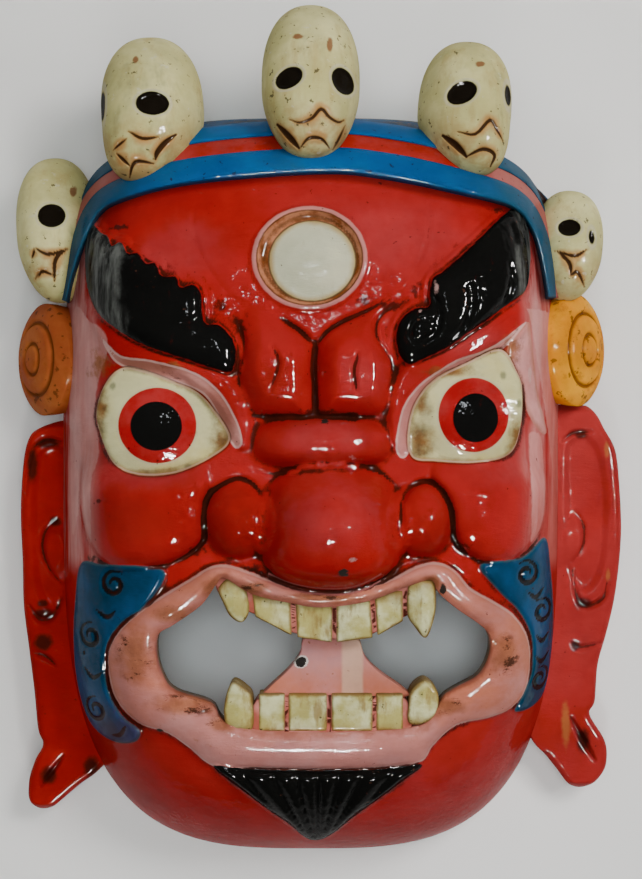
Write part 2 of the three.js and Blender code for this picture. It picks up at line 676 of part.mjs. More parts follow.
const paint = new THREE.MeshStandardMaterial({ color: 0xa8342a, roughness: 0.42, metalness: 0 });
const body = new THREE.Mesh(geometry, paint);
body.name = 'mask';
const part = new THREE.Group();
part.name = 'bhairava_mask';
part.add(body);

export default part;
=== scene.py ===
# %% [markdown]
# # A carved and painted mask with a crown of skulls
# The real mask is one block of wood, hollowed from behind and painted with thick gloss colours.
# The measured block comes in first. Every piece below sits in its place on that block, in metres,
# and the plan positions are written in millimetres as a carver's drawing would give them.

# %% Load the measured block
import bpy
import bmesh
import math
import numpy as np
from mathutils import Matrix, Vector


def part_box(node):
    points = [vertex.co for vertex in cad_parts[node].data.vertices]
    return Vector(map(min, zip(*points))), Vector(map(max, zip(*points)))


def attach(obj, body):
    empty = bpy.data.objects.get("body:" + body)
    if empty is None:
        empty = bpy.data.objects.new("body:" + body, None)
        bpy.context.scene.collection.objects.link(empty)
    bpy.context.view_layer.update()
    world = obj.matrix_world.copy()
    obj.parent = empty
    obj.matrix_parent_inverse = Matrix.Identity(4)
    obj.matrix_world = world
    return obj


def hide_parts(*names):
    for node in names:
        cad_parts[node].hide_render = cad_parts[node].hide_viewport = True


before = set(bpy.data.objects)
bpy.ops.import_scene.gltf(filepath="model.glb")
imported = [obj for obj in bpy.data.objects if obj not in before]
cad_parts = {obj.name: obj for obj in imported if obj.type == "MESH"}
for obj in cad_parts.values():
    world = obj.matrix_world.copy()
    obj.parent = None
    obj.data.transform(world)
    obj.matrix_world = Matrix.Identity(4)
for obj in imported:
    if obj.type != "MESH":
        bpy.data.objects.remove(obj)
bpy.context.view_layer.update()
MM = 0.001
DRAWING_RIGHT, DRAWING_TOP = 147.0, 199.58
low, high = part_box("mask")
shift_x = high[0] / MM - DRAWING_RIGHT
shift_y = high[1] / MM - DRAWING_TOP
size = [round((b - a) / MM, 1) for a, b in zip(low, high)]
print("block", size, "mm, drawing moved by", round(shift_x, 2), round(shift_y, 2))

# %% [markdown]
# ## Outlines, distances and soft steps
# Almost every carved form here is a raised or sunk area with an outline. If each point of the wood
# knows how far it is inside an outline, one number gives the height of the carving, the edge of the
# paint and the dirt in the crease. So these few helpers measure distances to outlines and to lines.

# %% Outline helpers
def smooth_curve(points, closed=False, per=6):
    """Catmull-Rom curve through the points."""
    p = np.array(points, float)
    if not closed:
        p = np.vstack([2 * p[0] - p[1], p, 2 * p[-1] - p[-2]])
    t = (np.arange(per) / per)[:, None]
    parts = []
    for i in range(len(p) if closed else len(p) - 3):
        a, b, c, d = (p[(i + k) % len(p)] for k in range(4))
        parts.append(0.5 * (2 * b + (c - a) * t + (2 * a - 5 * b + 4 * c - d) * t ** 2
                            + (3 * b - a - 3 * c + d) * t ** 3))
    if not closed:
        parts.append(p[-2:-1])
    return np.vstack(parts)


def to_segments(x, y, line, closed, far):
    """Distance to a polyline, how far along the nearest point lies, and the inside of a closed one."""
    near = np.full(x.shape, far, float)
    along = np.zeros(x.shape)
    inside = np.zeros(x.shape, bool)
    lo, hi = line.min(0) - far, line.max(0) + far
    pick = (x > lo[0]) & (x < hi[0]) & (y > lo[1]) & (y < hi[1])
    px, py = x[pick], y[pick]
    best = np.full(px.shape, far, float)
    where = np.zeros(px.shape)
    odd = np.zeros(px.shape, bool)
    count = len(line) if closed else len(line) - 1
    for i in range(count):
        (ax, ay), (bx, by) = line[i], line[(i + 1) % len(line)]
        dx, dy = bx - ax, by - ay
        t = np.clip(((px - ax) * dx + (py - ay) * dy) / (dx * dx + dy * dy + 1e-12), 0, 1)
        d = np.hypot(px - ax - t * dx, py - ay - t * dy)
        nearer = d < best
        best[nearer] = d[nearer]
        where[nearer] = (i + t[nearer]) / count
        if closed and ay != by:
            crosses = (ay > py) != (by > py)
            odd ^= crosses & (px < (bx - ax) * (py - ay) / (by - ay) + ax)
    near[pick], along[pick], inside[pick] = best, where, odd
    return near, along, inside


def depth_in(x, y, points, far=14.0, per=6):
    """How far inside a smooth outline each point is: positive inside, negative outside."""
    near, _, inside = to_segments(x, y, smooth_curve(points, True, per), True, far)
    return np.where(inside, near, -near)


def deepest(x, y, outlines, far=14.0):
    return np.maximum.reduce([depth_in(x, y, outline, far) for outline in outlines])


def leaf_in(x, y, centre, half, angle=0.0):
    """Rough distance inside a turned ellipse, positive inside."""
    c, s = math.cos(angle), math.sin(angle)
    dx, dy = x - centre[0], y - centre[1]
    reach = np.hypot((dx * c + dy * s) / half[0], (dy * c - dx * s) / half[1])
    return (1 - reach) * min(half)


def soft(value, start, end):
    t = np.clip((value - start) / (end - start), 0, 1)
    return t * t * (3 - 2 * t)


def cushion(depth, width):
    """Rounded edge: rises as a quarter circle to 1 at the given width inside."""
    t = np.clip((depth + 0.5) / width, 0, 1)
    return np.sqrt(t * (2 - t))


def smooth_max(a, b, blend):
    return 0.5 * (a + b + np.sqrt((a - b) ** 2 + blend ** 2))


print("helpers ready")

# %% [markdown]
# ## The head block
# The block is a rounded box in plan whose sides lean in towards the face. It is the form that the
# whole mask was carved from, so its height at any place is worth a function of its own.

# %% Height of the bare block
HEAD_HALF = (123.0, 181.0)
HEAD_CENTRE = (-5.0, -22.0)
HEAD_HEIGHT = 104.0
CORNER_CROWN, CORNER_CHIN = 4.0, 3.2
SIDE_ROUND, CROWN_ROUND, FLAT_TOP = 5.0, 8.0, 1.6


def profile(reach, u, v, height=HEAD_HEIGHT):
    share = v * v / (u * u + v * v + 1e-9)
    power = SIDE_ROUND + (CROWN_ROUND - SIDE_ROUND) * share
    return height * np.maximum(0, 1 - np.minimum(1, reach) ** power) ** (1 / FLAT_TOP)


def block_height(x, y, grow=0.0):
    up = y > HEAD_CENTRE[1]
    power = np.where(up, CORNER_CROWN, CORNER_CHIN)
    u = np.abs(x - HEAD_CENTRE[0]) / (HEAD_HALF[0] + grow)
    v = np.abs(y - HEAD_CENTRE[1]) / (HEAD_HALF[1] + grow)
    reach = (u ** power + v ** power) ** (1 / power)
    return profile(reach, u, np.where(up, v, 0), HEAD_HEIGHT + grow)


brow_height = block_height(np.array([0.0]), np.array([40.0]))[0]
print("block height at the brow", round(float(brow_height), 1), "mm")

# %% [markdown]
# ## Round forms of the face
# The roll on the bridge, the nose and its wings are swellings. Each is half an ellipsoid seen from
# above, and a smooth maximum lets them grow out of the block with the creases that a gouge leaves.

# %% Round forms
# each: centre, half sizes, top height, depth, squareness of the plan
BRIDGE = ((0.5, -1.5), (33.5, 13), 121, 26, 2.6)
NOSE = ((4.5, -39.5), (35, 29), 139.5, 40, 2.2)
WINGS = [((-37, -36.5), (16.5, 18.5), 118, 24, 2.2), ((45, -36), (15.5, 18), 118, 24, 2.2)]
EYEBALLS = [((-73, 7), (44, 36), 104.5, 30, 2.0), ((67, 12.5), (42, 38), 104.5, 30, 2.0)]


def swelling(x, y, form, soften=0.0):
    """Half an ellipsoid; softening makes its upper part run out more gently."""
    (cx, cy), (rx, ry), top, deep, square = form
    s = 1 - (np.abs((x - cx) / rx) ** square + np.abs((y - cy) / ry) ** square) ** (2 / square)
    fullness = 0.5 + soften * soft(y, cy - ry * 0.7, cy)
    return np.where(s > 0, top - deep + deep * np.maximum(s, 0) ** fullness, -60.0)


print("round forms:", 2 + len(WINGS) + len(EYEBALLS))

# %% [markdown]
# ## Areas with an outline
# The knots between the brows, the cheeks, brows, lids, lips and beards stand a few millimetres
# proud. Their outlines are short lists of points that a smooth curve runs through.

# %% Outlines of the raised areas
KNOTS = [
    [(-35, 44), (-36.5, 33), (-35, 22), (-29, 12.5), (-15, 10.5), (-5, 11.5), (-4, 30), (-5, 41),
     (-10, 48.5), (-18, 54), (-27, 60), (-34, 55)],
    [(-0.5, 12), (8, 10.5), (20, 10.5), (28.5, 13.5), (31.5, 24), (31.5, 34), (29.5, 43), (27, 50),
     (28, 60), (19, 58), (9, 52.5), (2, 47.5), (-0.5, 41), (-1.5, 30)],
]
CHEEKS = [
    [(-110.8, -10), (-112, -29), (-109.5, -41), (-105.5, -49), (-99.7, -55), (-91.7, -57.5), (-80.5, -57.5),
     (-69.4, -55.5), (-60.5, -51.5), (-54, -45), (-52, -36), (-52, -27), (-51, -16), (-58, -4), (-85, 0),
     (-103, 4)],
    [(101.5, 4), (105, -14), (105.5, -27), (103.5, -39), (99.5, -45.5), (95, -50), (88.5, -54), (80, -55.5),
     (69.5, -53), (62.7, -48), (59.2, -40.5), (58, -32.3), (54.5, -24), (50, -14), (58, -3), (80, 0)],
]
BROWS = [
    [(-110, 103), (-104, 98.5), (-101, 95), (-97, 92.5), (-95.3, 88.2), (-90.5, 89.5), (-87.2, 84),
     (-82.4, 84), (-78.5, 79), (-74.2, 79), (-71.2, 73.3), (-64.8, 72.6), (-62.6, 68), (-56.8, 69.2),
     (-53.4, 64.6), (-53, 59), (-51.6, 51.8), (-45.5, 51), (-39.6, 45), (-38, 38), (-40, 30.2),
     (-48, 31.5), (-62.5, 36.5), (-75, 40.5), (-86.5, 46), (-98, 54), (-104, 61), (-109, 76)],
    [(94, 110), (86.5, 105.5), (78.5, 98), (67, 86.5), (55.5, 76), (50, 72), (48.5, 66), (48.2, 59.5),
     (42, 58.5), (36, 54), (33.5, 47), (34.5, 39), (39, 33.5), (46, 36), (56.5, 41), (67, 48.5),
     (74.5, 53.5), (83, 60), (93.5, 68), (96.5, 80), (97, 92), (96, 102)],
]
FOLDS = [
    [(-107, 58), (-98, 53), (-84, 44), (-62, 36), (-46, 31), (-37, 24), (-31.5, 9), (-33, -3), (-38, -2),
     (-41, 8), (-52, 21), (-67, 30.5), (-84, 34), (-96, 38)],
    [(96, 62), (84, 57), (68, 47), (52, 38), (38, 33), (31.5, 20), (31, 2), (36.5, -6), (36, 2),
     (41, 16), (56, 31), (78, 42), (92, 47)],
]
LIDS = [
    [(-99.9, 46.6), (-90.5, 38), (-77.6, 35.8), (-68, 33.6), (-59.8, 31.3), (-51.3, 27), (-43.5, 19.4),
     (-37, 7.4), (-35, -1.1), (-37.5, -4), (-40.1, -2), (-44.3, 5.6), (-47.7, 13.2), (-52.9, 20.3),
     (-61.5, 24.3), (-71.8, 27.9), (-82, 31.3), (-91, 33.5), (-96.3, 39)],
    [(94, 54), (81.2, 44.5), (71.8, 39.5), (61.5, 36), (53.1, 31.2), (44.2, 24.8), (37, 15.4), (34, 4.2),
     (33.5, -4.7), (36.2, -8.5), (39.4, -6), (40.1, 1.1), (41.9, 12.3), (46.4, 20.7), (53.5, 27.4),
     (62.9, 32.3), (73.1, 36.8), (83, 41.5)],
]
EYES = [
    [(-102.3, 13.2), (-100.4, 2.5), (-94.1, -10.5), (-82.4, -15.9), (-65, -15), (-47.9, -7.2), (-40.8, 0.7),
     (-47.9, 13.2), (-55.5, 21.3), (-65, 25.5), (-78, 30.5), (-90, 32.5), (-98.2, 25.3)],
    [(81.1, 41), (88.8, 31), (91.6, 21.3), (90.5, 4.3), (85.1, -6.9), (69, -10.5), (51.5, -9.8),
     (41.5, -8.5), (38.8, -0.2), (40.8, 12.8), (45.7, 21.8), (53.3, 28.6), (64.5, 34)],
]
BEARDS = [
    [(-112, -58), (-100, -57), (-78, -57), (-70, -61), (-79, -75), (-91, -84), (-98, -96), (-98.5, -113),
     (-92, -126), (-83, -133), (-86, -139), (-98, -140.5), (-111, -134), (-117, -118), (-118, -98),
     (-116, -78)],
    [(105, -46), (92, -54), (72, -56), (79, -67), (91, -79), (97.5, -92), (98, -108), (94, -118),
     (90, -126), (101, -126), (110, -120), (112.5, -104), (112, -84), (109, -62)],
]
FLAP = [(95, 54), (97, 45), (98.8, 33), (100.6, 21), (106, 4), (101.5, 4), (95, 12), (92.4, 21), (90.5, 27),
        (87.4, 34.8), (84.5, 40.5), (88, 47)]
LIP_OUTER = [(0, -68), (-21, -63), (-32, -59), (-42, -56), (-50, -57), (-58, -62), (-76, -73), (-89.5, -84),
             (-97, -95), (-97.5, -107), (-93.5, -120), (-83, -129.5), (-70, -133), (-60, -139.5),
             (-48, -148.5), (-26, -149), (0, -149.5), (26, -149), (45, -146.5), (51, -138.5),
             (61.5, -129.5), (78, -127), (89, -123.5), (95.5, -116), (97.5, -103), (95.5, -91),
             (88, -80), (77, -72.5), (67, -66.5), (60, -58.5), (52, -55), (44, -56), (32.5, -61.5),
             (22, -65)]
LIP_INNER = [(0, -75), (-14, -73), (-31, -69), (-43, -62), (-47, -65), (-53.5, -74), (-66, -83),
             (-73.5, -88), (-74.5, -98), (-71.5, -108), (-66, -114), (-50, -119), (-44, -127),
             (-28, -131), (0, -132), (28, -131), (47, -128), (54.5, -117.5), (61, -113), (72, -107.5),
             (77, -98), (76.5, -89), (71, -83), (61, -76), (53, -69), (49, -63), (38, -66), (20, -72.5)]
CHIN_BEARD = [(-49, -148), (-30, -149.5), (0, -150), (26, -149.5), (46, -147.5), (36, -157), (17, -173),
              (-2, -190.5), (-16, -178), (-34, -162)]
THIRD_EYE = ((-5.1, 81.5), (25.9, 23.4))
THIRD_DISC = ((-3.9, 80.2), (19.7, 18.4))
areas = [KNOTS, CHEEKS, BROWS, FOLDS, LIDS, EYES, BEARDS, [LIP_OUTER, LIP_INNER, CHIN_BEARD]]
print("outlines:", sum(len(group) for group in areas))

# %% [markdown]
# ## Carved lines
# A carved line is a path with a width and a depth. Hair, the curls of the beard, the folds at the
# brow and the creases of the nose are all lines, so one list serves them all.

# %% Carved lines of the face
def spiral(centre, outer, inner, turns, hand, start):
    angles = start + hand * turns * 2 * math.pi * np.linspace(0, 1, 22)
    radii = np.linspace(outer, inner, 22)
    return [(centre[0] + r * math.cos(a), centre[1] + r * math.sin(a)) for r, a in zip(radii, angles)]


NOSE_RIM = [(-44, -50.5), (-31, -58), (-15, -65), (3, -67.5), (17, -66), (32.5, -58), (48, -51)]
# each: path, half width, depth
BROW_LINES = [
    ([(-98, 93), (-97.5, 86), (-96.5, 80)], 1.2, 2.0),
    ([(-52, 57), (-56, 53), (-61, 51.5)], 1.6, 1.4),
    ([(49.5, 66), (52.4, 58), (51.5, 49), (46.5, 43.5)], 1.9, 3.4),
    ([(66.8, 69), (67.6, 60.6), (64.2, 51.2), (58, 44.5)], 2.0, 3.0),
    ([(85.2, 80), (86.3, 72.6), (83, 62.3), (76, 56.5)], 2.0, 3.0),
    ([(86.9, 100), (89.2, 89)], 1.5, 2.4),
    (spiral((44.5, 47.5), 7.2, 2.0, 1.1, 1, 5.9), 1.3, 2.0),
]
CURLS = [((-94, -65.5), 6.3, 1, 0.9), ((-106.5, -90.5), 6.3, 1, 1.4), ((-105, -126), 6.5, 1, 1.6),
         ((94.5, -61.5), 6.3, -1, 2.2), ((103.5, -80), 6.3, -1, 2.2), ((103.5, -113), 6.3, -1, 1.8)]
COMMAS = [[(-103, -78), (-97.5, -81), (-93.5, -78)], [(-111, -106), (-106, -110.5), (-100.5, -107)],
          [(-97, -137), (-92.5, -136), (-89.5, -131)], [(-111, -99), (-110, -100)],
          [(95, -70), (99.5, -73), (104, -69)], [(100, -91), (104, -94.5), (108, -91)],
          [(100, -101), (104, -104.5), (108.5, -101)]]
BEARD_LINES = [(spiral(at, outer, 1.6, 1.35, hand, start), 1.5, 2.4) for at, outer, hand, start in CURLS]
BEARD_LINES += [(path, 1.4, 2.2) for path in COMMAS]
FACE_LINES = [
    ([(-2.7, 45), (-3.4, 30), (-1.8, 11)], 1.3, 5.0),
    ([(-18, 54.5), (-9.3, 48.5), (-2.7, 42.5)], 1.5, 3.8),
    ([(31, 63), (20, 57.5), (10, 53), (3, 48.5), (-2.2, 42.5)], 1.5, 3.8),
    ([(-22, 42), (-18.8, 34), (-22.5, 22)], 1.3, 3.2),
    ([(16.8, 39), (14.6, 30), (16, 21)], 1.3, 3.2),
    ([(-31, 10.5), (0, 9.8), (24, 10.5)], 1.3, 3.0),
    ([(-39.5, 56), (-34.5, 44), (-37, 30)], 1.4, 2.6),
    ([(39, 62.5), (28, 57), (24.5, 48), (29.5, 38.5), (33.5, 29)], 1.4, 2.8),
    ([(-58, 103), (-56.4, 91), (-53, 81.8), (-46.2, 70.7), (-36.7, 61.3), (-18, 54.4)], 1.0, 0.8),
    ([(49, 108), (49.4, 99), (46.4, 86), (40.4, 73.8), (32.6, 64.3)], 1.0, 0.8),
    ([(-69, -55), (-60, -52), (-52.5, -45), (-53, -32.5), (-49.4, -23.8), (-38.9, -17.6), (-31, -19.5),
      (-25.5, -27)], 1.4, 3.8),
    ([(36, -39), (35.6, -28.5), (39.6, -22), (46.9, -18.5), (54, -22.5), (58.3, -32), (59.2, -40.5),
      (62.2, -48.3), (69.5, -53)], 1.4, 3.8),
    (NOSE_RIM, 0.8, 1.4),
    ([(-31, -12), (-24, -15), (-12, -15.5), (-4, -14)], 1.1, 1.6),
    ([(-99.5, -27), (-94, -30)], 0.8, 0.8),
]
print("carved lines:", len(BROW_LINES) + len(BEARD_LINES) + len(FACE_LINES))

# %% [markdown]
# ## The relief of the whole face
# Now the heights are put together in the order in which a carver works: big forms first, then the
# raised areas, then the lines cut into them. The same distances are kept for the paint.

# %% Relief and paint fields
def carve_lines(x, y, lines):
    cut = np.zeros(x.shape)
    for path, half_width, depth in lines:
        near, along, _ = to_segments(x, y, smooth_curve(path, per=4), False, 8.0)
        taper = 0.35 + 0.65 * np.sin(np.pi * np.clip(along, 0.04, 0.96)) ** 0.6
        cut = np.maximum(cut, depth * taper * (1 - soft(near / (half_width * taper), 0.1, 1.15)))
    return cut


# the flutes of the chin beard fan out from one point
FAN = (-1.5, -196)
FLUTES, FLUTE_DEPTH = 14.5, 3.2


def chin_flutes(x, y):
    angle = np.arctan2(x - FAN[0], y - FAN[1])
    return FLUTE_DEPTH * np.abs(np.sin(angle * FLUTES)) ** 0.7


def face_fields(x, y):
    """Distances to every outline of the face, by name."""
    lip_out = depth_in(x, y, LIP_OUTER, 30)
    lip_in = -depth_in(x, y, LIP_INNER, 30)
    return {
        "knot": deepest(x, y, KNOTS), "cheek": deepest(x, y, CHEEKS, 18), "brow": deepest(x, y, BROWS),
        "fold": deepest(x, y, FOLDS), "lid": deepest(x, y, LIDS), "eye": deepest(x, y, EYES),
        "beard": deepest(x, y, BEARDS), "chin": depth_in(x, y, CHIN_BEARD),
        "lip": np.minimum(lip_out, lip_in + 6), "lip_out": lip_out, "lip_in": lip_in,
        "flap": depth_in(x, y, FLAP),
        "third": leaf_in(x, y, *THIRD_EYE), "disc": leaf_in(x, y, *THIRD_DISC),
    }


# how far each area stands over the wood round it, and how deep the third eye is dished
RISE = {"cheek": 12.0, "fold": 4.5, "knot": 8.5, "flap": 2.4, "brow": 7.0, "ring": 2.2, "beard": 4.0,
        "lip": 8.5, "chin": 4.5}
DISH = 4.6


def face_relief(x, y):
    """Bare block and finished height over the rim."""
    f = face_fields(x, y)
    base = block_height(x, y)
    z = base + RISE["cheek"] * cushion(f["cheek"], 15) * soft(-y, 4, 26)
    z = z + RISE["fold"] * soft(f["fold"], -2.5, 2.0) - 1.6 * soft(f["lid"], -0.4, 1.6)
    eyes = np.maximum(*[swelling(x, y, ball) for ball in EYEBALLS])
    sunk = np.minimum(z, base - 4)
    z = z + (np.maximum(eyes, sunk) - z) * soft(f["eye"], -0.8, 1.2)
    knots = RISE["knot"] * soft(f["knot"], -2.5, 10) + 3 * cushion(f["knot"], 5)
    z = z + knots * (1 - 0.85 * soft(y, 36, 60))
    z = smooth_max(z, swelling(x, y, BRIDGE), 2.0)
    nose = smooth_max(swelling(x, y, WINGS[0]), swelling(x, y, WINGS[1]), 0.1)
    nose = smooth_max(nose, swelling(x, y, NOSE, 0.45), 9.0)
    z = smooth_max(z, nose, 1.4 + 13.0 * soft(y, -36, -12) * (1 - soft(np.abs(x - 4.5), 20, 34)))
    z = z + 1.6 * soft(f["brow"], -4.2, -2.8) * (1 - soft(f["fold"], -2, 1))
    z = z + RISE["flap"] * soft(f["flap"], -0.8, 1.0)
    z = z + RISE["brow"] * cushion(f["brow"], 8.0) + 1.5 * soft(f["brow"], -0.5, 0.8)
    z = z + RISE["ring"] * soft(f["third"], -1.0, 0.7) - DISH * soft(f["third"], 1.6, 4.6)
    z = z + 1.4 * soft(f["disc"], -0.6, 1.0) + 0.8 * soft(f["disc"], 1, 12)
    z = z + RISE["beard"] * soft(f["beard"], -0.6, 1.4)
    share = f["lip_out"] / (np.abs(f["lip_out"]) + np.maximum(f["lip_in"], 0) + 1e-6)
    swell = np.sin(np.pi * (0.14 + 0.72 * np.clip(share, 0, 1))) ** 0.7
    z = z + soft(f["lip_out"], -0.6, 1.0) * (RISE["lip"] * swell - 2.0)
    z = z + soft(f["chin"], -0.6, 2.0) * (RISE["chin"] + chin_flutes(x, y) * soft(f["chin"], 0, 4))
    cut = carve_lines(x, y, BROW_LINES) * soft(f["brow"], -1, 2)
    cut = cut + carve_lines(x, y, BEARD_LINES) * soft(f["beard"], -1, 1)
    cut = cut + carve_lines(x, y, FACE_LINES)
    return base, z - cut


print("relief ready, areas that rise:", len(RISE))

# %% [markdown]
# ## A shell for the face
# A square grid is pulled to the rounded plan of the block, with more rows where the sides drop to
# the rim. Each point is then lifted to the relief. A grid is chosen over a sculpted ball because its
# rows stay even, so fine lines come out clean everywhere.

# %% Grid pulled to the block
def plan_reach(count=400):
    """Even steps along the profile of the block, as a table from grid to reach."""
    t = np.linspace(0, 1, count)
    z = profile(t, t, 0 * t)
    steps = np.hypot(np.diff(t) * 150, np.diff(z) * 0.38)
    length = np.concatenate([[0], np.cumsum(steps)])
    return length / length[-1], t


def grid_mesh(columns, rows, name):
    bm = bmesh.new()
    bmesh.ops.create_grid(bm, x_segments=columns, y_segments=rows, size=1.0)
    mesh = bpy.data.meshes.new(name)
    bm.to_mesh(mesh)
    bm.free()
    return mesh, read_points(mesh)


def pulled_grid(columns, rows, half, height):
    mesh, co = grid_mesh(columns, rows, "grid")
    a, b = co[:, 0], co[:, 1]
    step = np.maximum(np.abs(a), np.abs(b))
    table = plan_reach()
    reach = np.interp(step, table[0], table[1])
    power = np.where(b > 0, CORNER_CROWN, CORNER_CHIN)
    span = (np.abs(a) ** power + np.abs(b) ** power) ** (1 / power) + 1e-12
    u, v = a / span * reach, b / span * reach
    x, y = HEAD_CENTRE[0] + half[0] * u, HEAD_CENTRE[1] + half[1] * v
    z = profile(reach, np.abs(u), np.where(b > 0, np.abs(v), 0), height)
    return mesh, x, y, z


def read_points(mesh):
    co = np.empty(len(mesh.vertices) * 3)
    mesh.vertices.foreach_get("co", co)
    return co.reshape(-1, 3)


def write_points(mesh, x, y, z):
    co = np.column_stack([(x + shift_x) * MM, (y + shift_y) * MM, z * MM])
    mesh.vertices.foreach_set("co", co.ravel())
    mesh.update()


WALL, RIM = 15.0, 13.0
front, fx, fy, fz = pulled_grid(228, 356, HEAD_HALF, HEAD_HEIGHT)
base, relief = face_relief(fx, fy)
lift = (relief - base) * soft(fz, 6, 40)
write_points(front, fx, fy, fz + lift)
print("front grid", len(front.vertices), "points, top", round(float((fz + lift).max()), 1), "mm")

# %% [markdown]
# ## The hollow behind and the mouth
# The carver hollows the block so that it is light and won't split. A second, coarser grid makes the
# hollow, and bridging the two rims closes the wood. The mouth goes right through, so it is cut with a
# boolean.

# %% Hollow back, rim and mouth
back, bx, by, bz = pulled_grid(34, 50, (HEAD_HALF[0] - RIM, HEAD_HALF[1] - RIM), HEAD_HEIGHT - WALL)
write_points(back, bx, by, bz)
bm = bmesh.new()
bm.from_mesh(back)
bmesh.ops.reverse_faces(bm, faces=bm.faces[:])
bm.from_mesh(front)
rim_edges = [e for e in bm.edges if e.is_boundary]
bmesh.ops.bridge_loops(bm, edges=rim_edges)
bmesh.ops.triangulate(bm, faces=[f for f in bm.faces if len(f.verts) > 4])
shell = bpy.data.meshes.new("shell")
bm.to_mesh(shell)
open_edges = sum(1 for e in bm.edges if not e.is_manifold)
bm.free()
print("shell", len(shell.polygons), "faces, open edges", open_edges)


def prism(points, z_low, z_high, per=5):
    """Closed upright prism over a smooth outline."""
    bm = bmesh.new()
    place = [((x + shift_x) * MM, (y + shift_y) * MM, z_low * MM) for x, y in smooth_curve(points, True, per)]
    face = bm.faces.new([bm.verts.new(co) for co in place])
    up = bmesh.ops.extrude_face_region(bm, geom=[face])
    moved = [g for g in up["geom"] if isinstance(g, bmesh.types.BMVert)]
    bmesh.ops.translate(bm, verts=moved, vec=(0, 0, (z_high - z_low) * MM))
    bmesh.ops.recalc_face_normals(bm, faces=bm.faces[:])
    return bm


def cut_away(mesh, cutter_bm, name):
    """The mesh less the cutter, as a new mesh."""
    tool_mesh = bpy.data.meshes.new(name + "_tool")
    cutter_bm.to_mesh(tool_mesh)
    cutter_bm.free()
    tool = bpy.data.objects.new(name + "_tool", tool_mesh)
    body = bpy.data.objects.new(name + "_raw", mesh)
    for ob in (tool, body):
        bpy.context.scene.collection.objects.link(ob)
    cut = body.modifiers.new("cut", "BOOLEAN")
    cut.operation = "DIFFERENCE"
    cut.solver = "MANIFOLD"
    cut.object = tool
    done = body.evaluated_get(bpy.context.evaluated_depsgraph_get())
    result = bpy.data.meshes.new_from_object(done)
    for ob in (tool, body):
        bpy.data.objects.remove(ob)
    return result


face_mesh = cut_away(shell, prism(LIP_INNER, 40, 180), "face")
print("face", len(face_mesh.polygons), "faces after the mouth is cut")

# %% [markdown]
# ## Where dirt gathers
# Old gloss paint goes brown in every crease. The script finds the creases on each finished mesh: a
# point that lies below the average of its neighbours is in a hollow. A fine and a broad measure are
# stored on the points, and the paints read them.

# %% Crease measure and piece maker
def store(mesh, name, values):
    layer = mesh.attributes.new(name, "FLOAT", "POINT")
    layer.data.foreach_set("value", np.asarray(values, np.float32))


def store_creases(mesh, broad_steps=14):
    co = read_points(mesh) / MM
    ends = np.empty(len(mesh.edges) * 2, np.int64)
    mesh.edges.foreach_get("vertices", ends)
    a, b = ends.reshape(-1, 2).T
    count = np.bincount(np.concatenate([a, b]), minlength=len(co)).astype(float)
    count[count == 0] = 1

    def average(values):
        total = np.zeros_like(values)
        np.add.at(total, a, values[b])
        np.add.at(total, b, values[a])
        return total / (count[:, None] if values.ndim == 2 else count)

    normals = np.empty(len(mesh.vertices) * 3)
    mesh.vertices.foreach_get("normal", normals)
    normals = normals.reshape(-1, 3)
    smooth = co
    for _ in range(3):
        smooth = 0.4 * smooth + 0.6 * average(smooth)
    fine = np.einsum("ij,ij->i", smooth - co, normals)
    for _ in range(broad_steps):
        smooth = 0.3 * smooth + 0.7 * average(smooth)
    broad = np.einsum("ij,ij->i", smooth - co, normals)
    for _ in range(2):
        fine, broad = 0.5 * fine + 0.5 * average(fine), 0.5 * broad + 0.5 * average(broad)
    store(mesh, "fine", fine)
    store(mesh, "broad", broad)
    return fine, broad


def finish_piece(name, mesh, material):
    mesh.polygons.foreach_set("use_smooth", np.ones(len(mesh.polygons), bool))
    mesh.update()
    mesh.materials.clear()
    mesh.materials.append(material)
    ob = bpy.data.objects.new(name, mesh)
    bpy.context.scene.collection.objects.link(ob)
    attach(ob, "root")
    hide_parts("mask")
    print(name, len(mesh.polygons), "faces")


print("piece maker ready")

# %% [markdown]
# ## Paint
# Each colour is a layer over the last, as it was brushed on. A layer shows where its field on the
# points is above zero, with a slightly wobbling edge from noise. A few short helpers write the nodes,
# so that each coat of paint is one line.

